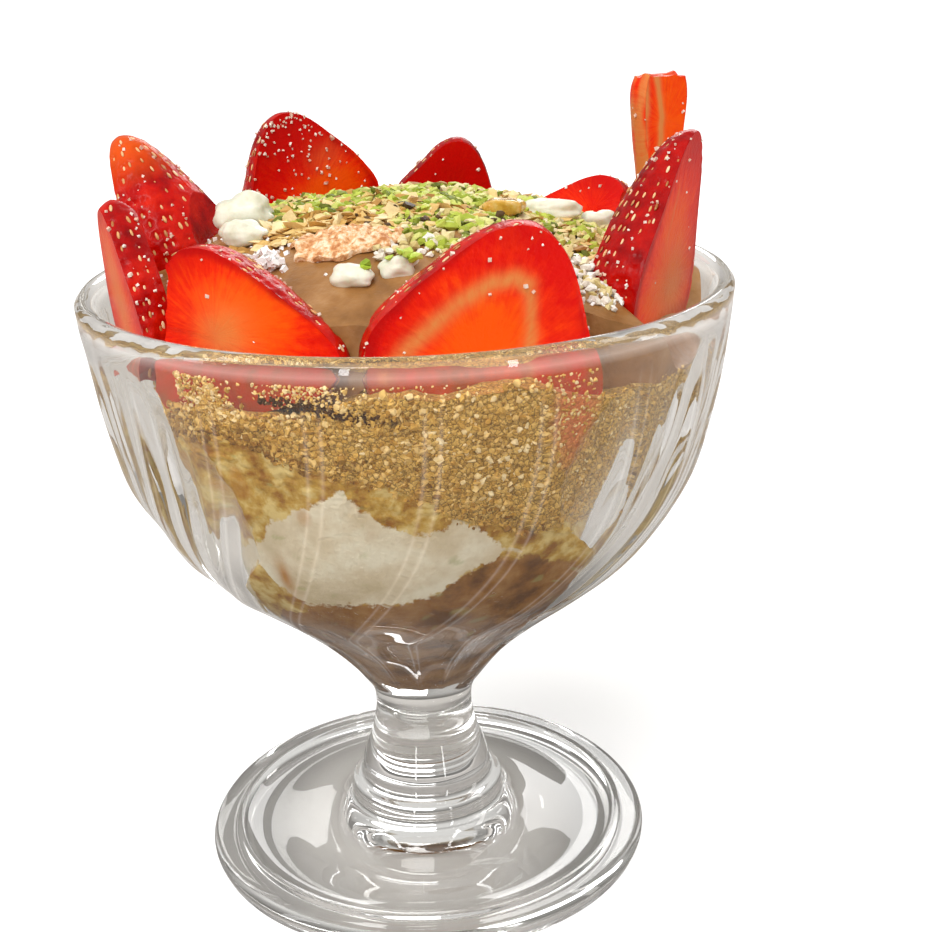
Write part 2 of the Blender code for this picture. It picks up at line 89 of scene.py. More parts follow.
def smoothPath(points, perSpan):  # cubic spans through the points, slopes weighted by the lengths beside them
    p = np.asarray(points, float)
    step = np.diff(p, axis=0)
    length = np.linalg.norm(step, axis=1)[:, None]
    slope = step / length
    inner = (slope[:-1] * length[1:] + slope[1:] * length[:-1]) / (length[:-1] + length[1:])
    tangent = np.vstack([slope[:1], inner, slope[-1:]])
    t = np.linspace(0, 1, perSpan, endpoint=False)[:, None]
    spans = []
    for i in range(len(step)):
        spans.append((2 * t ** 3 - 3 * t ** 2 + 1) * p[i] + (t ** 3 - 2 * t ** 2 + t) * length[i] * tangent[i]
                     + (3 * t ** 2 - 2 * t ** 3) * p[i + 1] + (t ** 3 - t ** 2) * length[i] * tangent[i + 1])
    return np.vstack(spans + [p[-1:]])


def polar(azimuth, radius, height):  # x = r sin a, y = -r cos a
    a = np.radians(azimuth)
    return np.stack(np.broadcast_arrays(radius * np.sin(a), -radius * np.cos(a), height), axis=-1)


def around(table, azimuth):  # height eased between the table's rows, closed at 360 degrees
    rows = np.array(sorted(table) + [(sorted(table)[0][0] + 360, sorted(table)[0][1])], float)
    a = (azimuth - rows[0, 0]) % 360 + rows[0, 0]
    i = np.clip(np.searchsorted(rows[:, 0], a, side="right") - 1, 0, len(rows) - 2)
    share = (a - rows[i, 0]) / (rows[i + 1, 0] - rows[i, 0])
    return rows[i, 1] + (rows[i + 1, 1] - rows[i, 1]) * share * share * (3 - 2 * share)


# Mesh helpers

def shellFaces(rows, columns):  # quads between rings closed round, and a fan of triangles at each pole
    ring = np.arange(columns)
    after = (ring + 1) % columns
    quads = []
    for i in range(rows - 1):
        low, high = i * columns, (i + 1) * columns
        quads.append(np.stack([low + ring, low + after, high + after, high + ring], axis=1))
    last = (rows - 1) * columns
    fans = np.vstack([np.stack([after, ring, np.full(columns, rows * columns)], axis=1),
                      np.stack([last + ring, last + after, np.full(columns, rows * columns + 1)], axis=1)])
    return np.vstack(quads).tolist() + fans.tolist()


def shellPoints(rows, startPole, endPole):  # rings one after another, then the two poles
    return np.vstack([rows.reshape(-1, 3), [startPole], [endPole]])


def addPiece(name, points, faces, materials, nodes=(), fields=None, faceSlots=None, sharp=None):
    # points in mm; fields are one number a vertex, kept as attributes that the materials read
    mesh = bpy.data.meshes.new(name)
    mesh.from_pydata((np.asarray(points) * mm).tolist(), [], faces)
    bm = bmesh.new()
    bm.from_mesh(mesh)
    bmesh.ops.recalc_face_normals(bm, faces=bm.faces)
    bm.to_mesh(mesh)
    bm.free()
    for material in materials:
        mesh.materials.append(material)
    if faceSlots is not None:
        mesh.polygons.foreach_set("material_index", np.asarray(faceSlots, np.int32))
    for key, values in (fields or {}).items():
        mesh.attributes.new(key, "FLOAT", "POINT").data.foreach_set("value", np.asarray(values, np.float32))
    mesh.shade_smooth()
    if sharp is not None:
        mesh.set_sharp_from_angle(angle=math.radians(sharp))
    piece = bpy.data.objects.new(name, mesh)
    bpy.context.scene.collection.objects.link(piece)
    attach(piece, "root")
    if nodes:
        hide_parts(*nodes)


def randomTurns(rng, count, lean=1.0):  # rotation matrices: any heading, and a tilt of up to lean half-turns
    heading = rng.uniform(0, 2 * np.pi, count)
    tilt = rng.normal(0, 1, count) * lean * np.pi / 2
    way = rng.uniform(0, 2 * np.pi, count)
    zero, one = np.zeros(count), np.ones(count)

    def about(axis, angle):
        c, s = np.cos(angle), np.sin(angle)
        rows = {"x": [one, zero, zero, zero, c, -s, zero, s, c],
                "z": [c, -s, zero, s, c, zero, zero, zero, one]}
        return np.stack(rows[axis], axis=1).reshape(count, 3, 3)

    return about("z", way) @ about("x", tilt) @ about("z", heading)


def joinedCopies(shape, faces, places, turns, sizes, rng, jitter=0.0):
    # every copy's points = place + turn * (shape * size * own random swell), all copies as one array
    count, corners = len(places), len(shape)
    swell = 1 + jitter * rng.uniform(-1, 1, (count, corners, 1))
    local = shape[None] * sizes[:, None, :] * swell
    points = np.einsum("nij,nkj->nki", turns, local) + places[:, None]
    offset = (np.arange(count) * corners)[:, None, None]
    joined = []
    for size in sorted({len(face) for face in faces}):
        group = np.array([face for face in faces if len(face) == size])
        joined += (group[None] + offset).reshape(-1, size).tolist()
    return points.reshape(-1, 3), joined


def ball(rows, columns):  # unit sphere as rings and poles
    lift = np.pi * (np.arange(rows) + 1) / (rows + 1)
    turn = 2 * np.pi * np.arange(columns) / columns
    rings = np.stack([np.sin(lift)[:, None] * np.cos(turn), np.sin(lift)[:, None] * np.sin(turn),
                      np.cos(lift)[:, None] * np.ones(columns)], axis=-1)
    return shellPoints(rings, (0, 0, 1), (0, 0, -1)), shellFaces(rows, columns)


golden = (1 + 5 ** 0.5) / 2
icoPoints = np.array([(-1, golden, 0), (1, golden, 0), (-1, -golden, 0), (1, -golden, 0), (0, -1, golden),
                      (0, 1, golden), (0, -1, -golden), (0, 1, -golden), (golden, 0, -1), (golden, 0, 1),
                      (-golden, 0, -1), (-golden, 0, 1)]) / math.hypot(1, golden)
icoFaces = [(0, 11, 5), (0, 5, 1), (0, 1, 7), (0, 7, 10), (0, 10, 11), (1, 5, 9), (5, 11, 4), (11, 10, 2),
            (10, 7, 6), (7, 1, 8), (3, 9, 4), (3, 4, 2), (3, 2, 6), (3, 6, 8), (3, 8, 9), (4, 9, 5), (2, 4, 11),
            (6, 2, 10), (8, 6, 7), (9, 8, 1)]
cubePoints = np.array([(x, y, z) for x in (-1, 1) for y in (-1, 1) for z in (-1, 1)]) * 0.6
cubeFaces = [(0, 1, 3, 2), (4, 6, 7, 5), (0, 4, 5, 1), (2, 3, 7, 6), (0, 2, 6, 4), (1, 5, 7, 3)]


# Node groups and materials

def makeGroup(name, inputs, outputs):  # shader node group with named sockets
    group = bpy.data.node_groups.new(name, "ShaderNodeTree")
    for socketName, kind, value in inputs:
        socket = group.interface.new_socket(name=socketName, in_out="INPUT", socket_type=kind)
        socket.default_value = value
    for socketName, kind in outputs:
        group.interface.new_socket(name=socketName, in_out="OUTPUT", socket_type=kind)
    return group, group.nodes.new("NodeGroupInput"), group.nodes.new("NodeGroupOutput")


def addNode(tree, kind, **settings):
    node = tree.nodes.new(kind)
    for key, value in settings.items():
        setattr(node, key, value)
    return node


def feed(tree, socket, value):  # links a socket, or sets its value
    if isinstance(value, bpy.types.NodeSocket):
        tree.links.new(value, socket)
    else:
        socket.default_value = value


def mathNode(tree, operation, a, b=None):
    node = addNode(tree, "ShaderNodeMath", operation=operation)
    feed(tree, node.inputs[0], a)
    if b is not None:
        feed(tree, node.inputs[1], b)
    return node.outputs[0]


def mixColour(tree, factor, a, b, blend="MIX"):
    node = addNode(tree, "ShaderNodeMix", data_type="RGBA", blend_type=blend)
    for index, value in ((0, factor), (6, a), (7, b)):
        feed(tree, node.inputs[index], value)
    return node.outputs[2]


def spread(tree, value, low, high, toLow=0.0, toHigh=1.0):  # maps low..high to toLow..toHigh, clamped
    node = addNode(tree, "ShaderNodeMapRange")
    for index, item in enumerate((value, low, high, toLow, toHigh)):
        feed(tree, node.inputs[index], item)
    return node.outputs[0]


def noiseNode(tree, vector, scale, detail=3.0, rough=0.55):
    node = addNode(tree, "ShaderNodeTexNoise")
    for key, value in (("Vector", vector), ("Scale", scale), ("Detail", detail), ("Roughness", rough)):
        feed(tree, node.inputs[key], value)
    return node.outputs[0]


def rgb(r, g, b):
    return (r, g, b, 1.0)


def buildMottle():  # noise of the given feature size picks between three colours
    group, given, out = makeGroup(
        "mottle",
        [("Dark", "NodeSocketColor", rgb(0, 0, 0)), ("Middle", "NodeSocketColor", rgb(0.5, 0.5, 0.5)),
         ("Light", "NodeSocketColor", rgb(1, 1, 1)), ("Size mm", "NodeSocketFloat", 2.0),
         ("Spread", "NodeSocketFloat", 0.2)],
        [("Color", "NodeSocketColor"), ("Mask", "NodeSocketFloat")])
    place = addNode(group, "ShaderNodeTexCoord").outputs["Object"]
    scale = mathNode(group, "DIVIDE", 1000.0, given.outputs["Size mm"])
    noise = noiseNode(group, place, scale, 4.0, 0.6)
    low = mathNode(group, "SUBTRACT", 0.5, given.outputs["Spread"])
    high = mathNode(group, "ADD", 0.5, given.outputs["Spread"])
    mask = spread(group, noise, low, high)
    darker = mixColour(group, spread(group, mask, 0.0, 0.5), given.outputs["Dark"], given.outputs["Middle"])
    colour = mixColour(group, spread(group, mask, 0.5, 1.0), darker, given.outputs["Light"])
    group.links.new(colour, out.inputs["Color"])
    group.links.new(mask, out.inputs["Mask"])
    return group


def buildRelief():  # fine bumps of the given size and height
    group, given, out = makeGroup(
        "relief",
        [("Size mm", "NodeSocketFloat", 1.0), ("Height mm", "NodeSocketFloat", 0.1)],
        [("Normal", "NodeSocketVector")])
    place = addNode(group, "ShaderNodeTexCoord").outputs["Object"]
    scale = mathNode(group, "DIVIDE", 1000.0, given.outputs["Size mm"])
    noise = noiseNode(group, place, scale, 3.0, 0.6)
    bump = addNode(group, "ShaderNodeBump")
    feed(group, bump.inputs["Height"], noise)
    feed(group, bump.inputs["Distance"], mathNode(group, "MULTIPLY", given.outputs["Height mm"], mm))
    group.links.new(bump.outputs[0], out.inputs["Normal"])
    return group


mottle = buildMottle()
relief = buildRelief()


def newMaterial(name, **sockets):  # Principled material with its uniform values set on the sockets
    material = bpy.data.materials.new(name)
    material.use_nodes = True
    shader = material.node_tree.nodes["Principled BSDF"]
    for key, value in sockets.items():
        shader.inputs[key.replace("_", " ")].default_value = value
    return material, material.node_tree, shader


def useMottle(tree, colours, size, contrast=0.2):  # the colours are a dark, a middle and a light one
    node = addNode(tree, "ShaderNodeGroup", node_tree=mottle)
    for key, colour in zip(("Dark", "Middle", "Light"), colours):
        feed(tree, node.inputs[key], rgb(*colour))
    feed(tree, node.inputs["Size mm"], size)
    feed(tree, node.inputs["Spread"], contrast)
    return node.outputs["Color"], node.outputs["Mask"]


def useRelief(tree, shader, size, height):
    node = addNode(tree, "ShaderNodeGroup", node_tree=relief)
    feed(tree, node.inputs["Size mm"], size)
    feed(tree, node.inputs["Height mm"], height)
    tree.links.new(node.outputs["Normal"], shader.inputs["Normal"])


def useBump(tree, shader, height, distance):  # bumps from a height, the distance in mm
    bump = addNode(tree, "ShaderNodeBump")
    feed(tree, bump.inputs["Height"], height)
    bump.inputs["Distance"].default_value = distance * mm
    tree.links.new(bump.outputs[0], shader.inputs["Normal"])


def field(tree, name):  # a vertex attribute of the piece
    return addNode(tree, "ShaderNodeAttribute", attribute_name=name).outputs["Fac"]


# specular level of the matt finishes, and how much darker the spots on small pieces are
mattShine, spotShade = 0.22, (0.75, 0.72, 0.68)


def mottledMaterial(name, look):  # one dictionary of dark, middle and light colours, sizes and gloss
    material, tree, shader = newMaterial(name, Roughness=look["roughness"], Coat_Weight=look.get("coat", 0.0),
                                         Coat_Roughness=look.get("coatRoughness", 0.2),
                                         Specular_IOR_Level=mattShine,
                                         Subsurface_Weight=look.get("glow", 0.0), Subsurface_Scale=0.002)
    colour, _ = useMottle(tree, (look["dark"], look["middle"], look["light"]), look["size"],
                          look.get("contrast", 0.2))
    tree.links.new(colour, shader.inputs["Base Color"])
    useRelief(tree, shader, look["bumpSize"], look["bump"])
    return material


def shadedMaterial(name, look):  # joined small pieces: each copy's own "shade" runs through a list of colours
    material, tree, shader = newMaterial(name, Roughness=look["roughness"], Coat_Weight=look.get("coat", 0.0),
                                         Specular_IOR_Level=mattShine)
    shade = field(tree, "shade")
    ramps = addNode(tree, "ShaderNodeValToRGB")
    stops = look["colours"]
    elements = ramps.color_ramp.elements
    while len(elements) < len(stops):
        elements.new(0.5)
    for i, colour in enumerate(stops):
        elements[i].position = i / max(len(stops) - 1, 1)
        elements[i].color = rgb(*colour)
    tree.links.new(shade, ramps.inputs[0])
    darker = mixColour(tree, 1.0, ramps.outputs[0], rgb(*spotShade), "MULTIPLY")
    _, mask = useMottle(tree, ((0, 0, 0), (0.5, 0.5, 0.5), (1, 1, 1)), look["size"])
    tree.links.new(mixColour(tree, mask, darker, ramps.outputs[0]), shader.inputs["Base Color"])
    useRelief(tree, shader, look["size"], look["bump"])
    return material


print("helpers and node groups ready")


# Glass: cavity profile, rim, fluted outside, stem and foot

glass = {
    "flutes": 20, "columnsPerFlute": 28, "perSpan": 4,
    "cavity": [(0, 34.8), (4, 35.4), (8.2, 37.8), (14.5, 43), (22.1, 50), (28, 55.5), (34.8, 62), (41, 70),
               (46, 80), (49.4, 90), (51.5, 100), (52.4, 107)],
    "rim": [(53.1, 108.6), (54.6, 109.1), (55.8, 107.8)],
    "bowlOutside": [(55.3, 102), (54.4, 94), (52.6, 85), (50.2, 76.4), (46.3, 69), (40.3, 61), (33, 54.6),
                    (26, 49), (20.3, 44), (16.4, 40), (12.3, 35), (9.4, 30.5)],
    "stem": [(9, 27), (9.8, 22), (11.8, 15.8), (12.7, 12.4), (14.1, 11.2), (14.6, 8)],
    "foot": [(17.5, 5.4), (24, 4.2), (35, 3.5), (35.9, 4.1), (37.2, 3.5), (40.6, 3.3), (41.5, 1.8), (40.9, 0)],
    "underside": [33, 25, 16, 8],
    "fluteDepth": 0.8, "ridgeAzimuth": 3.0, "ridgeRound": 0.035, "fluteTop": 104.0, "fluteStart": 8.0,
    "fluteBottom": 34.0, "fluteEnd": 10.0, "twist": 24.0, "twistLength": 50.0, "twistEase": 3,
    "colour": (0.94, 0.935, 0.915), "shadowShare": 0.25, "deepest": 3.5,
    # fine streaks: depth in mm, how many to a flute, and the azimuths over which they set in on the right; they go
    # on round the back and the left, up to the middle of the front
    "streak": 0.035, "streaks": 4, "streakFrom": (26, 42),
    # painted highlight, emitted by the glass: a faint glow near the rim as (height, spread, amount), the strength
    # of it all, and thin painted highlight lines by the ridges: way from the ridge in flutes, width and amount
    "paintedGlint": [(108.8, 0.9, 0.2), (106.6, 0.45, 1.0)], "paintedGlintStrength": 0.26, "paintedGlintColour": (1.0, 0.97, 0.92),
    "ridgeGlint": 0.075, "ridgeGlintWidth": 0.016, "ridgeGlintAmount": 0.42,
}


cavityPath = smoothPath(glass["cavity"], 8)


def cavityRadius(height):  # the smooth cavity profile's radius at a height
    return np.interp(height, cavityPath[:, 1], cavityPath[:, 0])


def glassMaterial():  # clear to most shadow rays, and to a ray turned back inside the wall too often
    material, tree, shader = newMaterial("clearGlass", Base_Color=rgb(*glass["colour"]), Roughness=0.0,
                                         Transmission_Weight=1.0, IOR=1.5)
    light = addNode(tree, "ShaderNodeLightPath")
    shadow = spread(tree, light.outputs["Is Shadow Ray"], 0.0, 1.0, 1.0, glass["shadowShare"])
    deep = mathNode(tree, "LESS_THAN", light.outputs["Glossy Depth"], glass["deepest"])
    tree.links.new(mathNode(tree, "MULTIPLY", shadow, deep), shader.inputs["Alpha"])
    # painted highlight: the glass itself emits a glow near the rim and thin lines beside the ridges
    paintedGlint = mixColour(tree, field(tree, "paintedGlint"), rgb(0, 0, 0), rgb(*glass["paintedGlintColour"]))
    tree.links.new(paintedGlint, shader.inputs["Emission Color"])
    shader.inputs["Emission Strength"].default_value = glass["paintedGlintStrength"]
    return material


def buildGlass():
    # outer radius = profile - depth * (1 - (2 |u| - 1)^2) - streak * cos(2 pi n u), u the way from a ridge in
    # flutes; outer azimuth = azimuth - twist * ((top - z) / length)^ease; columns crowd towards the ridges
    inner = smoothPath(glass["cavity"] + glass["rim"], glass["perSpan"])
    outerPoints = glass["rim"][-1:] + glass["bowlOutside"] + glass["stem"] + glass["foot"]
    outer = smoothPath(outerPoints, glass["perSpan"])[1:]
    under = np.array([(r, 0.0) for r in glass["underside"]])
    profile = np.vstack([inner[1:], outer, under])
    outside = np.r_[np.zeros(len(inner) - 1), np.ones(len(outer)), np.zeros(len(under))]
    radius, height = profile[:, :1], np.maximum(profile[:, 1:], 0)
    t = np.linspace(-1, 1, glass["columnsPerFlute"], endpoint=False)
    u = 0.5 * np.sign(t) * np.abs(t) ** 1.6
    azimuth = glass["ridgeAzimuth"] + 360 / glass["flutes"] * (np.arange(glass["flutes"])[:, None] + u).ravel()
    side = ramp(np.abs(azimuth), *glass["streakFrom"])
    streak = glass["streak"] * side * np.cos(2 * np.pi * glass["streaks"] * np.tile(u, glass["flutes"]))
    u = np.tile(np.sqrt(u ** 2 + glass["ridgeRound"] ** 2), glass["flutes"])
    dip = glass["fluteDepth"] * (1 - (2 * np.minimum(u, 0.5) - 1) ** 2) + streak
    rise = line(height, glass["fluteTop"], glass["fluteTop"] - glass["fluteStart"])
    fade = line(height, glass["fluteBottom"], glass["fluteBottom"] + glass["fluteEnd"])
    turned = line(height, glass["fluteTop"], glass["fluteTop"] - glass["twistLength"])
    twist = glass["twist"] * turned ** glass["twistEase"]
    rows = polar(azimuth - twist * outside[:, None], radius - dip * rise * fade * outside[:, None], height)
    points = shellPoints(rows, (0, 0, glass["cavity"][0][1]), (0, 0, 0))
    # painted highlight: glowing bands near the rim, and thin glowing lines just beside each ridge
    paintedGlint = sum(amount * np.exp(-((points[:, 2] - middle) / wide) ** 2) for middle, wide, amount in glass["paintedGlint"])
    ridgeGlintLines = np.exp(-((u - glass["ridgeGlint"]) / glass["ridgeGlintWidth"]) ** 2) * rise * fade * outside[:, None]
    paintedGlint[:-2] += glass["ridgeGlintAmount"] * ridgeGlintLines.ravel()
    addPiece("glassBody", points, shellFaces(*rows.shape[:2]), [glassMaterial()], ["glass"],
             {"paintedGlint": paintedGlint}, sharp=50)


buildGlass()
print("glass done")


# Layers: each one closed, reaching just into the glass in front, behind and low down

layers = {
    "chocolateTop": [(-180, 60), (-120, 58), (-70, 56), (-30, 60), (-5, 64), (20, 66), (60, 63), (120, 60)],
    "whiteTop": [(-180, 72), (-120, 69), (-70, 68), (-32, 76), (-12, 81), (8, 80), (22, 74), (45, 67), (110, 68)],
    "spongeTop": [(-180, 80), (-120, 82), (-70, 88), (-40, 91), (-24, 89), (-12, 83.5), (8, 83), (30, 78),
                  (60, 74), (120, 76)],
    "crumbTop": [(-180, 99), (-120, 98), (-60, 98.5), (-22, 99), (-6, 102.5), (20, 102.5), (34, 99), (120, 98)],
    # height, and how far from the front (or the back) the filling touches the wall on the left and on the right
    "contact": [(46, 90, 90), (60, 62, 62), (68, 42, 46), (74, 33, 36), (80, 32, 27), (86, 34, 26), (93, 37, 29),
                (100, 39, 36), (107, 40, 40)],
    "intoWall": 0.25, "gap": 0.8, "overlap": 0.15, "leftStandoff": 8.5, "rightStandoff": 8.0,
    "floorRadius": 15.0, "floorSunk": 0.1, "columns": 360,
}
crumb = {"columns": 700, "wallRows": 58, "coarse": 1.4, "fine": 0.9, "relief": 0.5, "reach": 0.62,
         "coarseShare": 0.6, "fineShare": 0.4, "sunk": 0.2}
dome = {"edge": 106.0, "rise": 16.2, "radius": 53.0, "frontRadius": 44.5, "swell": 0.5, "columns": 300,
        "rings": 96,
        "lump": 0.45, "lumpSize": 9.0, "fine": 0.12, "fineSize": 2.6,
        "sinkSide": (44, 52, 84, 94), "sinkShare": (0.78, 0.93), "sink": 7.0, "sinkBehind": (4.0, 26.0, 1.3)}


def fillingRadius(azimuth, height):
    # cavity radius, a little into the wall where the filling touches it, less the stand-off at the two sides
    fromMiddle = np.abs(np.abs(azimuth) - 90)
    left = layers["leftStandoff"] * line(fromMiddle, 48, 18) * line(height, 44, 60)
    right = (layers["rightStandoff"] * line(fromMiddle, 54, 26) * line(height, 44, 58)
             * (1 - 0.95 * line(height, 73, 96)))
    standoff = np.where(azimuth < 0, left, right)
    heights, leftEdge, rightEdge = np.array(layers["contact"]).T
    edge = np.where(azimuth < 0, np.interp(height, heights, leftEdge), np.interp(height, heights, rightEdge))
    apart = ramp(90 - fromMiddle, edge - 1.5, edge + 1.5)
    return cavityRadius(height) + layers["intoWall"] - layers["gap"] * apart - standoff


def interfaceHeight(name, ripple, rough, seed):
    # height = middle + (height at the wall - middle) * share^1.5 + ripple + small unevenness
    table = layers[name]
    middle = around(table, np.arange(-180, 180, 20)).mean()

    def height(azimuth, share):
        wave = ripple * np.sin(np.radians(azimuth * 5)) * np.sin(share * np.pi)
        spot = polar(azimuth, 50 * share, 0.0)
        uneven = rough * (softNoise(spot, 5.0, seed) + 0.5 * softNoise(spot, 2.0, seed + 1))
        return middle + (around(table, azimuth) - middle) * share ** 1.5 + wave + uneven

    return height


def cavityFloor(azimuth, share):  # the bottom of the cavity, out to the floor radius
    height = np.interp(layers["floorRadius"] * share, cavityPath[:, 0], cavityPath[:, 1])
    return height - layers["floorSunk"] + 0 * azimuth


def domeReach(azimuth, height):  # the gelato's outer radius, behind the two berries that stand in front
    front = line(azimuth, -58, -48) * line(azimuth, 44, 34)
    full = fillingRadius(azimuth, height)
    return full - front * np.maximum(full - dome["frontRadius"], 0)


def domeBase(x, y):  # height = edge + rise * (1 - (r / R)^2) + low swells
    share = np.hypot(x, y) / dome["radius"]
    swell = dome["swell"] * np.sin(3 * np.arctan2(x, -y) + 1) * np.sin(share * np.pi)
    return dome["edge"] + dome["rise"] * (1 - share * share) + swell


def domeSurface(x, y):  # with lumps of two sizes, sunk where the right-hand berry stands, lower behind
    spot = np.stack(np.broadcast_arrays(x, y, 0.0), axis=-1)
    lumps = dome["lump"] * softNoise(spot, dome["lumpSize"], 5)
    lumps = lumps + dome["fine"] * softNoise(spot, dome["fineSize"], 6)
    azimuth, share = np.degrees(np.arctan2(x, -y)), np.hypot(x, y) / dome["radius"]
    a, b, c, d = dome["sinkSide"]
    sink = dome["sink"] * ramp(azimuth, a, b) * ramp(azimuth, d, c) * ramp(share, *dome["sinkShare"])
    near, far, behind = dome["sinkBehind"]
    return domeBase(x, y) + lumps - sink - behind * ramp(y, near, far)


def layerRows(lower, upper, reach, columns, wallRows, shares=(0.1, 0.3, 0.5, 0.7, 0.85, 1.0), topShares=None):
    # rings out along the lower surface, up the wall, and back in along the upper surface
    azimuth = -180 + 360 * np.arange(columns) / columns
    topShares = shares if topShares is None else topShares
    steps = [(s, 0.0) for s in shares] + [(1.0, i / wallRows) for i in range(1, wallRows)]
    steps += [(s, 1.0) for s in reversed(topShares)]
    share, lift = np.array(steps).T[..., None]
    low = lower(azimuth, share) - layers["overlap"]
    high = upper(azimuth, share)
    edgeLow = lower(azimuth, 1.0) - layers["overlap"]
    edge = edgeLow + (upper(azimuth, 1.0) - edgeLow) * lift
    radius = reach(azimuth, edge) * share
    height = low + (high - low) * lift
    wall = np.broadcast_to(share >= 1, radius.shape)
    return azimuth + 0 * radius, radius, height, wall


def addLayer(name, azimuth, radius, height, lowPole, highPole, material, node, fields=None):
    rows = polar(azimuth, radius, height)
    points = shellPoints(rows, (0, 0, lowPole), (0, 0, highPole))
    whole = {key: np.r_[value.ravel(), value[0].mean(), value[-1].mean()]
             for key, value in (fields or {}).items()}
    addPiece(name, points, shellFaces(*rows.shape[:2]), [material], [node], whole, sharp=50)


# what lies against the wall, as heights by azimuth: where the white starts and ends, the brown ends, crumbs start
bands = {
    "whiteHigh": [(-180, 72), (-120, 69), (-70, 70), (-45, 73), (-31, 77.6), (-26, 82), (-19, 84.8), (-13, 87.8),
                  (-9, 84.5), (-5, 81.6), (0, 80.5), (4.5, 81), (7, 83.6), (10, 80.8), (17, 76.6), (25, 72),
                  (45, 67), (110, 68)],
    "whiteLow": [(-180, 60), (-120, 58), (-70, 57), (-45, 62), (-36, 72), (-33.5, 73.5), (-30, 68.5), (-26, 66.4),
                 (-18, 66.2), (-4, 67), (4, 68.7), (6.5, 71), (10, 72.9), (14.4, 74.3), (17, 76.4), (25, 75),
                 (45, 64), (110, 60)],
    "brownHigh": [(-180, 60), (-120, 58), (-70, 56), (-45, 59), (-30, 64), (-23, 67), (-18, 67), (-4, 67.4),
                  (4, 68.7), (6.5, 71), (10, 73), (14.4, 74.5), (20, 75), (30, 72), (45, 66), (110, 60)],
    "crumbLow": [(-180, 81), (-120, 83), (-70, 90), (-45, 94), (-38, 94.6), (-28, 95.5), (-22, 92.6), (-16, 91),
                 (-12, 90), (-6.6, 89), (1, 87), (4, 84), (8, 82), (22, 79), (28, 79), (40, 76), (60, 75),
                 (120, 77)],
}
filling = {
    "brownDark": (0.13, 0.05, 0.009), "brown": (0.27, 0.115, 0.022), "brownLight": (0.38, 0.19, 0.058),
    "whiteDark": (0.56, 0.46, 0.29), "white": (0.67, 0.57, 0.4), "whiteLight": (0.78, 0.72, 0.56),
    "goldDark": (0.28, 0.11, 0.008), "gold": (0.48, 0.285, 0.045), "goldLight": (0.66, 0.5, 0.19),
    "crumbDark": (0.2, 0.085, 0.01), "crumb": (0.56, 0.31, 0.052), "crumbLight": (0.84, 0.56, 0.17),
    # the first colour on the next line is painted shade for the gaps between crumb granules
    "gapShade": (0.08, 0.032, 0.005), "chocolate": (0.035, 0.014, 0.006), "green": (0.36, 0.38, 0.14),
    "caramel": (0.42, 0.17, 0.015), "berry": (0.62, 0.17, 0.06), "ragged": 1.1, "raggedSize": 1.8, "grain": 0.85,
    "grainBump": 0.4, "roughness": 0.42,
}
# where the second berry shows through the wall among the crumbs: azimuth, height, half-width, half-height
showing = (27.0, 98.5, 3.8, 8.0)
# small marks: a caramel smear and a dark speck as (azimuth, height, half-width, half-height), caramel veins and a
# dark line with the heights or azimuths over which they fade; the line is (height, fall a degree, azimuth where it
# has that height, half-width)
marks = {
    "smear": (-27.5, 71.5, 1.6, 3.0), "veinTop": (96, 92), "veinFoot": (78, 84), "veinSide": (-2, -14),
    "veinShare": 0.5, "greenShare": 0.45, "line": (99.2, 0.13, -8, 0.9), "lineLeft": (-26, -19),
    "lineRight": (0, -4), "speck": (21, 78.9, 0.5, 0.9), "speckShare": 0.8,
}
gelatoLook = {"dark": (0.21, 0.092, 0.024), "middle": (0.3, 0.14, 0.042), "light": (0.4, 0.215, 0.085),
              "size": 9.0, "roughness": 0.32, "bumpSize": 2.4, "bump": 0.3, "coat": 0.14, "coatRoughness": 0.12,
              "contrast": 0.16}


def buildGranules():  # cells of the given size: a tone each, a gap mask for painted shade, and a bump height
    group, given, out = makeGroup("granules", [("Size mm", "NodeSocketFloat", 1.0)],
                                  [("Tone", "NodeSocketFloat"), ("GapShade", "NodeSocketFloat"),
                                   ("Height", "NodeSocketFloat")])
    place = addNode(group, "ShaderNodeTexCoord").outputs["Object"]
    scale = mathNode(group, "DIVIDE", 1000.0, given.outputs["Size mm"])
    wander = addNode(group, "ShaderNodeTexNoise")
    feed(group, wander.inputs["Vector"], place)
    feed(group, wander.inputs["Scale"], mathNode(group, "MULTIPLY", scale, 1.6))
    bent = addNode(group, "ShaderNodeVectorMath", operation="MULTIPLY_ADD")
    feed(group, bent.inputs[0], wander.outputs[1])
    bent.inputs[1].default_value = (0.0009, 0.0009, 0.0009)
    feed(group, bent.inputs[2], place)
    cells = addNode(group, "ShaderNodeTexVoronoi")
    feed(group, cells.inputs["Vector"], bent.outputs[0])
    feed(group, cells.inputs["Scale"], scale)
    edges = addNode(group, "ShaderNodeTexVoronoi", feature="DISTANCE_TO_EDGE")
    feed(group, edges.inputs["Vector"], bent.outputs[0])
    feed(group, edges.inputs["Scale"], scale)
    tone = addNode(group, "ShaderNodeSeparateColor")
    feed(group, tone.inputs[0], cells.outputs["Color"])
    group.links.new(tone.outputs[0], out.inputs["Tone"])
    group.links.new(spread(group, edges.outputs["Distance"], 0.0, 0.12, 1.0, 0.0), out.inputs["GapShade"])
    group.links.new(spread(group, cells.outputs["Distance"], 0.0, 0.8, 1.0, 0.0), out.inputs["Height"])
    return group


granules = buildGranules()


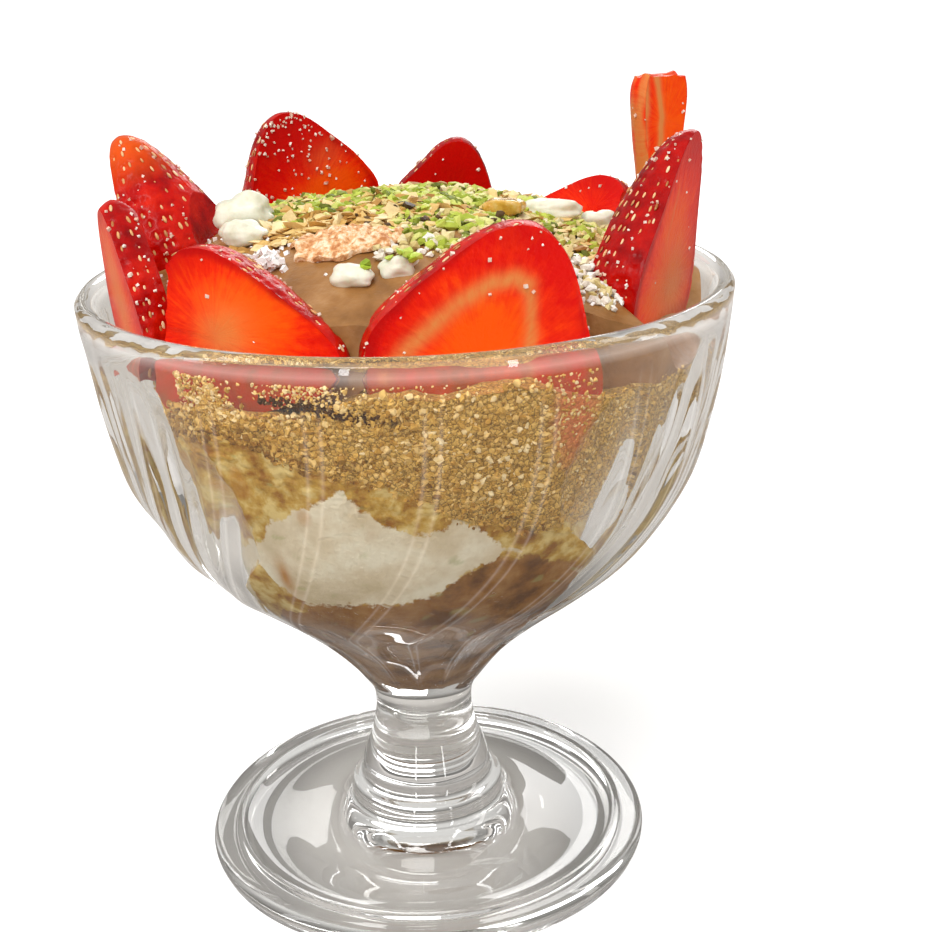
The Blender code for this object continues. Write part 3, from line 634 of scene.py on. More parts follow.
def fillingMaterial():
    # each substance's share = its distance in mm from its edge, with noise added, eased over a fraction of a mm
    look = filling
    material, tree, shader = newMaterial("layeredFilling", Roughness=look["roughness"], Specular_IOR_Level=0.2)
    place = addNode(tree, "ShaderNodeTexCoord").outputs["Object"]
    rough = noiseNode(tree, place, 1000.0 / look["raggedSize"], 4.0, 0.65)
    shift = spread(tree, rough, 0.25, 0.75, -look["ragged"], look["ragged"])

    def share(name, soft):
        return spread(tree, mathNode(tree, "ADD", field(tree, name), shift), -soft, soft)

    def tones(name):
        return look[name + "Dark"], look[name], look[name + "Light"]

    gold, _ = useMottle(tree, tones("gold"), 3.4, 0.14)
    white, _ = useMottle(tree, tones("white"), 8.0, 0.16)
    brown, _ = useMottle(tree, tones("brown"), 6.0, 0.16)
    cell = addNode(tree, "ShaderNodeGroup", node_tree=granules)
    cell.inputs["Size mm"].default_value = look["grain"]
    crumbs = mixColour(tree, cell.outputs["Tone"], rgb(*look["crumb"]), rgb(*look["crumbLight"]))
    clump, _ = useMottle(tree, tones("crumb"), 2.6, 0.2)
    crumbs = mixColour(tree, 0.45, crumbs, clump)
    # painted shade: the gaps between crumb granules are darkened towards a near-black brown
    gapShade = mathNode(tree, "MULTIPLY", cell.outputs["GapShade"], 0.8)
    crumbs = mixColour(tree, gapShade, crumbs, rgb(*look["gapShade"]))
    colour = mixColour(tree, share("brownHere", 0.35), gold, brown)
    colour = mixColour(tree, share("whiteHere", 0.3), colour, white)
    colour = mixColour(tree, field(tree, "green"), colour, rgb(*look["green"]))
    colour = mixColour(tree, field(tree, "caramel"), colour, rgb(*look["caramel"]))
    crumbShare = share("crumbHere", 0.4)
    colour = mixColour(tree, crumbShare, colour, crumbs)
    colour = mixColour(tree, field(tree, "chocolate"), colour, rgb(*look["chocolate"]))
    berryShare = mathNode(tree, "MULTIPLY", share("berryHere", 2.0), 0.85)
    colour = mixColour(tree, berryShare, colour, rgb(*look["berry"]))
    tree.links.new(colour, shader.inputs["Base Color"])
    height = mathNode(tree, "MULTIPLY", cell.outputs["Height"], spread(tree, crumbShare, 0.0, 1.0, 0.15, 1.0))
    useBump(tree, shader, height, look["grainBump"])
    return material


chocolateTop = interfaceHeight("chocolateTop", 0.8, 0.5, 21)
whiteTop = interfaceHeight("whiteTop", 1.0, 0.6, 22)
spongeTop = interfaceHeight("spongeTop", 0.8, 1.0, 23)
crumbTop = interfaceHeight("crumbTop", 0.6, 0.7, 24)


def softOval(azimuth, height, spot):  # exp(-d^2) about the middle of an oval
    middle, level, wide, high = spot
    return np.exp(-(((azimuth - middle) / wide) ** 2 + ((height - level) / high) ** 2))


def fromBerry(azimuth, height):  # 0 in the middle of the berry that shows, 1 at its edge
    return np.hypot((azimuth - showing[0]) / showing[2], (height - showing[1]) / showing[3])


def fillingFields(azimuth, radius, height):  # distances in mm from each band's edges, and the small marks
    points = polar(azimuth, radius, height)
    band = {name: around(table, azimuth) for name, table in bands.items()}
    white = np.minimum(height - band["whiteLow"], band["whiteHigh"] - height)
    veins = ramp(softNoise(points, 3.2, 32), 0.2, 0.6) * ramp(height, *marks["veinTop"])
    veins = veins * ramp(height, *marks["veinFoot"]) * marks["veinShare"] * ramp(azimuth, *marks["veinSide"])
    smear = np.maximum(softOval(azimuth, height, marks["smear"]), veins)
    green = ramp(softNoise(points * (1, 1, 2.5), 2.6, 33), 0.66, 0.85) * marks["greenShare"]
    level, fall, start, wide = marks["line"]
    offLine = height - (level - fall * (azimuth - start)) - 0.7 * softNoise(points, 3.0, 35)
    dark = np.exp(-(offLine / wide) ** 2) * ramp(azimuth, *marks["lineLeft"]) * ramp(azimuth, *marks["lineRight"])
    dark = dark * ramp(softNoise(points, 2.0, 61), -0.35, 0.1)
    dark = np.maximum(dark, marks["speckShare"] * softOval(azimuth, height, marks["speck"]))
    berryHere = np.maximum(5 * (1 - fromBerry(azimuth, height)), -9)
    return {"berryHere": berryHere, "whiteHere": white, "brownHere": band["brownHigh"] - height,
            "crumbHere": height - band["crumbLow"], "caramel": smear, "green": green, "chocolate": dark}


def buildFilling():
    material = fillingMaterial()
    columns, low = layers["columns"], glass["cavity"][0][1]
    azimuth, radius, height, _ = layerRows(cavityFloor, chocolateTop, fillingRadius, columns, 26)
    addLayer("chocolateFill", azimuth, radius, height, low - 0.1, chocolateTop(0, 0), material,
             "chocolate_cream", fillingFields(azimuth, radius, height))
    azimuth, radius, height, _ = layerRows(chocolateTop, whiteTop, fillingRadius, 480, 32)
    addLayer("whiteFill", azimuth, radius, height, chocolateTop(0, 0) - layers["overlap"], whiteTop(0, 0),
             material, "white_cream", fillingFields(azimuth, radius, height))
    azimuth, radius, height, wall = layerRows(whiteTop, spongeTop, fillingRadius, 600, 40)
    above = ramp(height, around(bands["whiteHigh"], azimuth) + 0.5, around(bands["whiteHigh"], azimuth) + 2.5)
    bumps = 0.3 * softNoise(polar(azimuth, radius, height), 1.6, 34) * wall * above
    addLayer("spongeFill", azimuth, radius + bumps, height, whiteTop(0, 0) - layers["overlap"], spongeTop(0, 0),
             material, "sponge_layer", fillingFields(azimuth, radius, height))
    # crumbs: wall radius = filling radius + relief * dome-shaped lumps of two sizes
    azimuth, radius, height, wall = layerRows(spongeTop, crumbTop, fillingRadius, crumb["columns"],
                                              crumb["wallRows"])
    points = polar(azimuth, radius, height)
    coarse = 1 - np.clip(grains(points, crumb["coarse"], 41) / crumb["reach"], 0, 1) ** 2
    fine = 1 - np.clip(grains(points, crumb["fine"], 51) / crumb["reach"], 0, 1) ** 2
    bumps = crumb["relief"] * (crumb["coarseShare"] * coarse + crumb["fineShare"] * fine) - crumb["sunk"]
    addLayer("crumbFill", azimuth, radius + bumps * wall, height, spongeTop(0, 0) - layers["overlap"],
             crumbTop(0, 0), material, "crumb_layer", fillingFields(azimuth, radius, height))


pressed = {
    "count": 8600, "size": (0.45, 1.25), "sandy": 0.55, "jitter": 0.28, "highest": 104.4,
    # further groups: azimuth, its half spread, height at 0, height per degree, half spread, count, tones, size
    "loose": [(-34, 6.5, 95.6, -0.16, 4.2, 520, 0.35, 1.0, 0.7),
              (-13, 11, 98.9, -0.152, 0.9, 230, 0.0, 0.08, 0.7),
              (-16, 9, 102.3, -0.05, 2.4, 240, 0.6, 1.0, 0.55), (3, 24, 103, 0, 1.8, 150, 0.6, 1.0, 0.4),
              (26.5, 5, 98.5, 0, 5.5, 190, 0.4, 1.0, 0.6)],
    "colours": [(0.05, 0.02, 0.006), (0.2, 0.085, 0.012), (0.5, 0.27, 0.045), (0.72, 0.44, 0.1),
                (0.86, 0.61, 0.24), (0.92, 0.76, 0.45)],
    "roughness": 0.6, "size mm": 0.5,
}


def buildPressedCrumbs():
    # granules pressed to the wall: twelve jittered corners each, finer on the right, and the further groups
    rng = np.random.default_rng(23)
    count = pressed["count"]
    azimuth = rng.uniform(-180, 180, count)
    low, high = around(bands["crumbLow"], azimuth) - 1.0, crumbTop(azimuth, 1.0) + 0.8
    height = low + (high - low) * rng.uniform(0, 1, count) ** 0.9
    sandy = ramp(azimuth, 16, 34) * (1 - ramp(azimuth, 120, 160))
    size = rng.uniform(*pressed["size"], count) ** 1.3 * (1 - (1 - pressed["sandy"]) * sandy)
    inBerry = fromBerry(azimuth, height) < rng.uniform(0.8, 1.2, count)
    size = np.where(inBerry & (rng.uniform(0, 1, count) < 0.72), size * 0.01, size)
    tone = rng.beta(1.8, 1.5, count) + 0.25 * softNoise(polar(azimuth, 50, height), 4.0, 77)
    tone = 0.26 + 0.74 * np.clip(tone - 0.35 * ramp(height, low + 8, low), 0, 1)
    for centre, wide, middle, slope, half, number, darkest, lightest, share in pressed["loose"]:
        place = centre + wide * np.clip(rng.normal(0, 0.5, number), -1, 1)
        azimuth = np.r_[azimuth, place]
        loose = middle + slope * place + half * np.clip(rng.normal(0, 0.5, number), -1, 1)
        height = np.r_[height, np.minimum(loose, pressed["highest"])]
        size = np.r_[size, share * rng.uniform(*pressed["size"], number) ** 1.3]
        tone = np.r_[tone, rng.uniform(darkest, lightest, number)]
    count = len(azimuth)
    sizes = size[:, None] * rng.uniform(0.38, 1.12, (count, 3)) * 0.62
    places = polar(azimuth, fillingRadius(azimuth, height) - 0.15 * size - 0.05, height)
    points, meshFaces = joinedCopies(icoPoints, icoFaces, places, randomTurns(rng, count), sizes, rng,
                                     pressed["jitter"])
    look = {"colours": pressed["colours"], "roughness": pressed["roughness"], "size": pressed["size mm"],
            "bump": 0.05}
    addPiece("pressedCrumbs", points, meshFaces, [shadedMaterial("biscuitCrumbs", look)],
             fields={"shade": np.repeat(tone, len(icoPoints))}, sharp=40)


def buildGelato():
    shares = tuple(np.linspace(0.012, 1, dome["rings"]))

    def top(azimuth, share):
        radius = domeReach(azimuth, dome["edge"]) * share
        spot = polar(azimuth, radius, 0.0)
        return domeSurface(spot[..., 0], spot[..., 1])

    azimuth, radius, height, _ = layerRows(crumbTop, top, domeReach, dome["columns"], 14, topShares=shares)
    addLayer("gelatoDome", azimuth, radius, height, crumbTop(0, 0) - layers["overlap"], top(0, 0),
             mottledMaterial("chocolateGelato", gelatoLook), "gelato_dome")


buildFilling()
buildPressedCrumbs()
buildGelato()
print("layers and gelato done")


# Strawberries: turned bodies cut flat in front and behind, with dimples, seeds and patterned cut faces

# stem middle, tip, width, fullness, way the cut face looks (azimuth, lift), front and back cuts, stem end cut off
berries = {
    "strawberry_1": ((-38.6, -31.6, 110.4), (-8.8, -45.3, 105.5), 25.5, 0.54, -25, 0, 1.5, 9, 0.08),
    "strawberry_2": ((5.6, -43.1, 91), (18.8, -39.6, 124.4), 36, 0.64, 11, 4, 2.5, 11, 0.05),
    "strawberry_3": ((38.3, -22, 99), (46, -17, 133.8), 27, 0.53, 62, 0, 0.8, 8.5, 0.05),
    "strawberry_4": ((46, 15, 144.5), (45, 14, 106), 10, 0.52, 28, 0, 2.2, 2.2, 0.12),
    "strawberry_5": ((42.3, 22.5, 113.4), (25, 36, 112.2), 14.5, 0.55, 35, 10, 2, 6, 0.05),
    "strawberry_6": ((6, 41.5, 104), (11.8, 41, 126.4), 22, 0.6, 10, 20, 2, 6, 0.05),
    "strawberry_7": ((-15.5, 38.5, 106), (-23, 35.5, 132.6), 30, 0.55, 30, 10, 1, 8.5, 0.05),
    "strawberry_8": ((-36, 2, 102), (-47.6, 6, 133), 22, 0.66, -110, 15, 1, 9, 0.05),
    "strawberry_9": ((-40.8, -21.4, 97), (-45.4, -18.6, 126.3), 20, 0.6, -67, 0, 2.2, 3, 0.08),
}
# cut faces, in mm across (x) and along (z) from the stem: glow is orange, pale is pinkish, dark is crimson, each a
# list of (x, z, half-width, half-length, amount); lines are pale strokes of (points, width, amount)
faces = {
    "strawberry_1": {"glow": [(4.5, 17, 7, 10, 1.25), (3, 25, 5, 4, 0.6), (8, 9, 4, 6, 0.5)],
                     "pale": [(0.3, 13.5, 5, 4.5, 0.85)],
                     "dark": [(11, 3, 4, 5, 0.6), (7, 32, 4, 5, 0.5)], "lines": []},
    "strawberry_2": {"glow": [(1, 16, 8, 10, 1.35), (9, 10, 4, 8, 0.6), (10, 22, 3, 3, 0.5), (-9, 20, 3, 9, 0.4)],
                     "pale": [], "dark": [(6, 34, 9, 2.5, 0.4)],
                     "lines": [([(14, 8), (11.8, 14), (7.2, 21.7), (3.6, 26), (0.7, 27.8), (-1.4, 27.4)],
                                1.3, 1.0),
                               ([(0.7, 27.8), (-2.2, 26.4), (-3.4, 23.6), (-5.2, 19), (-7, 9)], 1.0, 1.0)]},
    "strawberry_3": {"glow": [(2, 20, 9, 9, 1.0), (6, 9, 7, 8, 1.0)], "pale": [(-3, 11, 8, 7, 0.9)],
                     "dark": [(1, 34, 6, 4, 0.5)], "lines": [([(4, 8), (4.6, 16), (3.6, 26)], 0.5, 0.35)]},
    "strawberry_4": {"glow": [(1, 14, 6, 22, 0.95)], "pale": [], "dark": [(0, 2.5, 6, 1.6, 0.7)],
                     "lines": [([(-2.4, 4), (-1.6, 8), (-0.6, 12), (-1.0, 17), (0.2, 22)], 0.6, 1.4),
                               ([(-4.5, 3), (-4.6, 12), (-4.4, 26)], 0.8, 1.3)]},
    "strawberry_5": {"glow": [(-1, 10, 4.5, 6, 0.35)], "pale": [], "dark": [(-6, 6, 3, 8, 0.5)], "lines": []},
    "strawberry_6": {"glow": [], "pale": [], "dark": [(0, 12, 20, 20, 0.8)], "lines": []},
    "strawberry_7": {"glow": [(-5, 11, 9, 4.5, 1.3)], "pale": [(-6, 17, 4, 3, 0.3)],
                     "dark": [(4, 26, 14, 8, 0.85), (12, 12, 3, 14, 0.6)], "lines": []},
    "strawberry_8": {"glow": [(0, 28, 6, 6, 0.8)], "pale": [], "dark": [], "lines": []},
    "strawberry_9": {"glow": [(0, 15, 5, 14, 0.8)], "pale": [(1, 14, 5, 13, 0.7)], "dark": [(0, 29, 5, 3, 0.6)],
                     "lines": []},
}
# sugar on each berry: grains on its skin, grains on its cut face
dusting = {"strawberry_1": (60, 6), "strawberry_2": (90, 14), "strawberry_3": (120, 8), "strawberry_4": (10, 6),
           "strawberry_5": (30, 14), "strawberry_6": (20, 4), "strawberry_7": (90, 120), "strawberry_8": (70, 0),
           "strawberry_9": (60, 0)}
# skin: how bright it is from 0 to 1, and how orange its tip is
skinTone = {"strawberry_1": (0.6, 0.0), "strawberry_2": (0.6, 0.0), "strawberry_3": (0.2, 0.0),
            "strawberry_4": (0.9, 0.3), "strawberry_5": (0.5, 0.0), "strawberry_6": (0.15, 0.0),
            "strawberry_7": (0.4, 0.0), "strawberry_8": (0.6, 1.0), "strawberry_9": (0.35, 0.0)}
berry = {"rows": 112, "frontPoints": 34, "arcPoints": 64, "backPoints": 14, "lump": 0.5, "lumpSize": 6.0,
         "seedSpacing": 2.0, "dimple": 0.22, "dimpleWidth": 0.55, "capRings": 5, "blunt": 0.28, "chewed": 0.5}
# the slice that shows no seeds, and the berry whose back is skin all over
seedless, skinBack = ["strawberry_4"], ["strawberry_8"]
seed = {"size": (0.25, 0.15, 0.6), "sink": 0.14,
        "colours": [(0.42, 0.13, 0.03), (0.8, 0.42, 0.16), (0.93, 0.7, 0.42)], "roughness": 0.25, "coat": 0.5}


def berryFrame(stem, tip, azimuth, lift):  # columns: across the face, out of the face, along to the tip
    along = (tip - stem) / np.linalg.norm(tip - stem)
    a, e = math.radians(azimuth), math.radians(lift)
    look = np.array([math.sin(a) * math.cos(e), -math.cos(a) * math.cos(e), math.sin(e)])
    out = look - along * look.dot(along)
    out /= np.linalg.norm(out)
    return np.stack([np.cross(out, along), out, along], axis=1)


def berryRadius(width, fullness, share):  # r = width / 2 * sin(pi share^fullness)^power, blunter towards the tip
    power = 0.85 - berry["blunt"] * ramp(share, 0.5, 1.0)
    return width / 2 * np.sin(np.pi * np.clip(share, 0, 1) ** fullness).clip(0) ** power


def blobs(spots, x, z):  # the strongest of several soft ovals, each exp(-(d^2))
    total = np.zeros(x.shape)
    for centreX, centreZ, sizeX, sizeZ, amount in spots:
        total = np.maximum(total, amount * np.exp(-((x - centreX) / sizeX) ** 2 - ((z - centreZ) / sizeZ) ** 2))
    return total


def strokes(lines, x, z):  # soft lines along the points: amount * exp(-(distance / width)^2)
    total = np.zeros(x.shape)
    for points, width, amount in lines:
        for (x0, z0), (x1, z1) in zip(points[:-1], points[1:]):
            length2 = (x1 - x0) ** 2 + (z1 - z0) ** 2
            along = np.clip(((x - x0) * (x1 - x0) + (z - z0) * (z1 - z0)) / length2, 0, 1)
            distance = np.hypot(x - x0 - along * (x1 - x0), z - z0 - along * (z1 - z0))
            total = np.maximum(total, amount * np.exp(-(distance / width) ** 2))
    return total


def column(values):
    return values[:, None]


def buildBerry(name, rng, fleshFinish, skinFinish):
    stem, tip, width, fullness, azimuth, lift, front, back, stemCut = berries[name]
    stem, tip = np.array(stem, float), np.array(tip, float)
    length = np.linalg.norm(tip - stem)
    turn = berryFrame(stem, tip, azimuth, lift)
    t = np.linspace(0, 1, berry["rows"])
    share = stemCut + (1 - stemCut) * (1 - (1 - t) ** 1.35) * 0.9995
    radius = berryRadius(width, fullness, share)
    thin = 0.03 * radius + 0.01
    halfFront = np.sqrt(np.maximum(radius ** 2 - front ** 2, thin ** 2))
    halfBack = np.sqrt(np.maximum(radius ** 2 - back ** 2, thin ** 2))
    angleFront = np.arccos(np.clip(halfFront / radius, 0, 1))
    angleBack = np.arccos(np.clip(halfBack / radius, 0, 1))
    nf, na, nb = berry["frontPoints"], berry["arcPoints"], berry["backPoints"]
    sf, sa, sb = (np.arange(n) / n for n in (nf, na, nb))
    levelFront, levelBack = np.sqrt(radius ** 2 - halfFront ** 2), np.sqrt(radius ** 2 - halfBack ** 2)
    leftArc = column(np.pi - angleFront) + column(angleFront + angleBack) * sa
    rightArc = column(-angleBack) + column(angleFront + angleBack) * sa
    x = np.hstack([column(halfFront) * (1 - 2 * sf), column(radius) * np.cos(leftArc),
                   column(halfBack) * (2 * sb - 1), column(radius) * np.cos(rightArc)])
    y = np.hstack([column(levelFront) + 0 * sf, column(radius) * np.sin(leftArc),
                   -column(levelBack) + 0 * sb, column(radius) * np.sin(rightArc)])
    z = column(share * length) + 0 * x
    torn = berry["chewed"] * (1 + softNoise(np.stack([x, y, 0 * x], axis=-1), 1.5, 72)).clip(0)
    z = z + torn * column(ramp(share, stemCut + 0.08, stemCut))
    skin = np.tile(np.hstack([np.zeros(nf), np.ones(na), np.zeros(nb), np.ones(na)]), (len(t), 1))
    lump = 1 + berry["lump"] / width * 1.6 * softNoise(np.stack([x, y, z], axis=-1) + tip, berry["lumpSize"], 71)
    x, y = x * lump, np.where(skin > 0, y * lump, y)

    # seeds in staggered rows: each row's spacing along the skin is about the same
    seedPlaces, seedNormals = [np.zeros((0, 3))], [np.zeros((0, 3))]
    rowsOfSeeds = 0 if name in seedless else int(length * (1 - stemCut) / berry["seedSpacing"])
    for i in range(rowsOfSeeds):
        s = stemCut + (1 - stemCut) * (i + 0.7) / (rowsOfSeeds + 0.3)
        r = float(berryRadius(width, fullness, s))
        count = max(int(2 * np.pi * r / berry["seedSpacing"]), 3)
        phi = 2 * np.pi * (np.arange(count) + 0.5 * (i % 2)) / count + rng.uniform(-0.12, 0.12, count)
        spot = np.stack([r * np.cos(phi), r * np.sin(phi), np.full(count, s * length)], axis=1)
        spot[:, 2] += rng.uniform(-0.3, 0.3, count)
        keep = (spot[:, 1] < front - 0.35) & (spot[:, 1] > -back + 0.35)
        ahead = float(berryRadius(width, fullness, s + 0.01)) - r
        normal = np.stack([np.cos(phi), np.sin(phi), np.full(count, -ahead / (0.01 * length))], axis=1)
        seedPlaces.append(spot[keep])
        seedNormals.append((normal / np.linalg.norm(normal, axis=1)[:, None])[keep])
    seedPlaces, seedNormals = np.vstack(seedPlaces), np.vstack(seedNormals)

    rows = np.stack([x, y, z], axis=-1)
    flat = rows.reshape(-1, 3)
    if len(seedPlaces):
        away = np.sqrt(((flat[:, None] - seedPlaces[None]) ** 2).sum(-1)).min(1).reshape(x.shape)
    else:
        away = np.full(x.shape, 9.0)
    pit = -berry["dimple"] * np.exp(-(away / berry["dimpleWidth"]) ** 2)
    pit = pit + 0.06 * np.exp(-((away - 1.2) / 0.4) ** 2)
    outward = np.stack([x, y, 0 * x], axis=-1) / np.maximum(np.hypot(x, y), 0.05)[..., None]
    rows = rows + outward * (pit * skin * column(line(radius, 0.3, 2.0)))[..., None]

    # caps: rings that close the stem end, then one pole
    middle = rows[0].mean(0)
    caps = [middle + (rows[0] - middle) * (i / berry["capRings"]) for i in range(1, berry["capRings"])]
    whole = np.concatenate([np.array(caps), rows])
    capField = np.zeros((len(caps), x.shape[1]))
    points = shellPoints(whole, middle, (0, 0, length * float(share[-1]) + 0.05))
    world = points @ turn.T + stem

    # cut-face pattern: ovals and strokes in face coordinates, and rays from the middle of the face
    pattern = faces[name]
    wob = softNoise(rows + tip, 2.6, 81)
    px, pz = x + 0.7 * wob, z + 0.7 * softNoise(rows + tip, 2.2, 82)
    heat = blobs(pattern["glow"], px, pz)
    pale = np.maximum(blobs(pattern["pale"], px, pz), strokes(pattern["lines"], x + 0.35 * wob, z))
    if name in seedless:
        streaks = 1.1 * ramp(softNoise(rows * (1, 1, 0.3), 1.2, 83), -0.6, 0.3)
        pale = np.where((skin > 0) & (x < 0), streaks, pale)
    rim = ramp(np.abs(x) / np.maximum(column(radius), 0.2) + 0.04 * wob, 0.84, 1.0)
    edge = np.maximum(blobs(pattern["dark"], px, pz), rim * (skin < 1))
    ray = np.arctan2(x, z - 0.35 * length) * 9
    reach = np.hypot(x, z - 0.35 * length)

    def fieldOf(values, capValue):
        return np.r_[(capField + capValue).ravel(), values.ravel(), capValue, values[-1].mean()]

    fields = {"below": ramp(world[:, 2], 106.5, 103.0), "glowing": fieldOf(heat, 0.4),
              "pale": fieldOf(pale, 0.35), "edge": fieldOf(edge, 0.3), "ray": fieldOf(ray, 0.0),
              "reach": fieldOf(reach, 3.0), "along": fieldOf(column(share) + 0 * x, 0.0)}
    backFlesh = 0.0 if name in skinBack else 1.0
    sideFlesh = 1.0 if name in seedless else 0.0
    fleshColumn = np.hstack([np.ones(nf), np.full(na, sideFlesh), np.full(nb, backFlesh), np.zeros(na)])
    fleshColumn = fleshColumn.astype(int)
    meshFaces = shellFaces(*whole.shape[:2])
    rings = whole.shape[0]
    faceSlots = np.tile(1 - fleshColumn, (rings - 1, 1))
    faceSlots[:len(caps)] = 0
    faceSlots = np.r_[faceSlots.ravel(), np.zeros(len(fleshColumn)), 1 - fleshColumn]
    dust = []
    for wanted, mask in zip(dusting[name], (skin > 0, (skin < 1) & (y > 0))):
        usable = np.argwhere(mask & (rows[..., 2] > 0.25 * length) & (column(radius) > 2.5))
        picked = usable[rng.integers(0, len(usable), wanted)]
        dust.append(rows[picked[:, 0], picked[:, 1]] + rng.normal(0, 0.12, (wanted, 3)) + (0, 0.05, 0))
    dust = np.vstack(dust) @ turn.T + stem
    addPiece(name.replace("strawberry_", "berry"), world, meshFaces, [fleshFinish, skinFinish],
             [name], fields, faceSlots, sharp=38)
    return seedPlaces @ turn.T + stem, seedNormals @ turn.T, np.tile(turn[:, 2], (len(seedPlaces), 1)), dust


def fleshMaterial():  # red, orange where it glows, pinkish where it is pale, crimson at the edge, fine rays
    material, tree, shader = newMaterial("berryFlesh", Roughness=0.35, Specular_IOR_Level=0.08, Coat_Weight=0.03,
                                         Coat_Roughness=0.08)
    place = addNode(tree, "ShaderNodeTexCoord").outputs["Object"]
    rays = addNode(tree, "ShaderNodeCombineXYZ")
    feed(tree, rays.inputs[0], mathNode(tree, "MULTIPLY", field(tree, "ray"), 1.5))
    feed(tree, rays.inputs[1], mathNode(tree, "MULTIPLY", field(tree, "reach"), 0.22))
    fibre = noiseNode(tree, rays.outputs[0], 1.0, 4.0, 0.65)
    cloud = noiseNode(tree, place, 300.0, 4.0, 0.6)
    heat = mathNode(tree, "ADD", field(tree, "glowing"), spread(tree, cloud, 0.3, 0.7, -0.2, 0.2))
    heat = mathNode(tree, "ADD", heat, spread(tree, fibre, 0.3, 0.7, -0.22, 0.22))
    colour = mixColour(tree, spread(tree, heat, 0.0, 0.5), rgb(0.68, 0.003, 0.0003), rgb(0.84, 0.025, 0.0003))
    colour = mixColour(tree, spread(tree, heat, 0.4, 1.0), colour, rgb(0.9, 0.085, 0.0004))
    pale = mathNode(tree, "MULTIPLY", field(tree, "pale"), spread(tree, fibre, 0.3, 0.62, 0.7, 1.0))
    colour = mixColour(tree, pale, colour, rgb(0.68, 0.22, 0.055))
    edge = mathNode(tree, "MULTIPLY", field(tree, "edge"), spread(tree, cloud, 0.25, 0.6, 0.7, 1.0))
    colour = mixColour(tree, edge, colour, rgb(0.42, 0.001, 0.001))
    below = mathNode(tree, "MULTIPLY", field(tree, "below"), spread(tree, cloud, 0.35, 0.65, 0.45, 0.95))
    colour = mixColour(tree, below, colour, rgb(0.31, 0.066, 0.008))
    tree.links.new(colour, shader.inputs["Base Color"])
    useBump(tree, shader, mathNode(tree, "ADD", fibre, noiseNode(tree, place, 1500.0, 3.0)), 0.07)
    return material


def skinMaterial(name, tone, orangeTip):
    material, tree, shader = newMaterial("berrySkin_" + name, Roughness=0.22, Specular_IOR_Level=0.1,
                                         Coat_Weight=0.1, Coat_Roughness=0.05)
    deep = (0.15 + 0.2 * tone, 0.0002, 0.001)
    full = (0.27 + 0.32 * tone, 0.0005 + 0.004 * tone, 0.001)
    bright = (0.42 + 0.32 * tone, 0.002 + 0.02 * tone, 0.002)
    colour, _ = useMottle(tree, (deep, full, bright), 5.0, 0.18)
    tip = mathNode(tree, "MULTIPLY", spread(tree, field(tree, "along"), 0.72, 0.92), orangeTip * 0.85)
    colour = mixColour(tree, tip, colour, rgb(0.64, 0.08, 0.003))
    below = mathNode(tree, "MULTIPLY", field(tree, "below"), 0.5)
    colour = mixColour(tree, below, colour, rgb(0.26, 0.05, 0.012))
    tree.links.new(colour, shader.inputs["Base Color"])
    useRelief(tree, shader, 0.7, 0.12)
    return material


def buildBerries():
    rng = np.random.default_rng(5)
    flesh = fleshMaterial()
    places, normals, alongs, dust = [], [], [], []
    for name in berries:
        spots, out, along, sugar = buildBerry(name, rng, flesh, skinMaterial(name, *skinTone[name]))
        places.append(spots)
        normals.append(out)
        alongs.append(along)
        dust.append(sugar)
    places, normals, alongs = np.vstack(places), np.vstack(normals), np.vstack(alongs)
    alongs = alongs - normals * (alongs * normals).sum(1)[:, None]
    alongs /= np.linalg.norm(alongs, axis=1)[:, None]
    turns = np.stack([np.cross(normals, alongs), normals, alongs], axis=2)
    count = len(places)
    shape, shapeFaces = ball(4, 6)
    sizes = np.array([seed["size"]]) * rng.uniform(0.8, 1.2, (count, 1))
    points, meshFaces = joinedCopies(shape, shapeFaces, places - normals * seed["sink"], turns, sizes, rng, 0.05)
    shade = np.repeat(rng.uniform(0, 1, count), len(shape))
    look = {"colours": seed["colours"], "roughness": seed["roughness"], "coat": seed["coat"], "size": 0.5,
            "bump": 0.02}
    addPiece("berrySeeds", points, meshFaces, [shadedMaterial("berrySeed", look)],
             fields={"shade": shade})
    dust = np.vstack(dust)
    count = len(dust)
    sizes = rng.uniform(0.16, 0.42, (count, 1)) * rng.uniform(0.7, 1.3, (count, 3))
    points, meshFaces = joinedCopies(cubePoints, cubeFaces, dust, randomTurns(rng, count), sizes, rng, 0.2)
    look = {"colours": [(0.75, 0.42, 0.3), (0.9, 0.76, 0.64), (0.95, 0.9, 0.84)], "roughness": 0.2, "size": 0.4,
            "bump": 0.02, "coat": 0.3}
    addPiece("berrySugar", points, meshFaces, [shadedMaterial("berrySugarGrain", look)],
             fields={"shade": np.repeat(rng.uniform(0, 1, count), len(cubePoints))}, sharp=20)
    print("strawberries done,", len(places), "seeds")


buildBerries()


# Toppings on the gelato

def onDome(x, y, above=0.0):
    return np.stack([x, y, domeSurface(x, y) + above], axis=1)


def fieldSpots(rng, count, centre, half):  # random spots spread evenly over an ellipse
    angle = rng.uniform(0, 2 * np.pi, count)
    reach = rng.uniform(0, 1, count) ** 0.5
    return centre[0] + half[0] * reach * np.cos(angle), centre[1] + half[1] * reach * np.sin(angle)


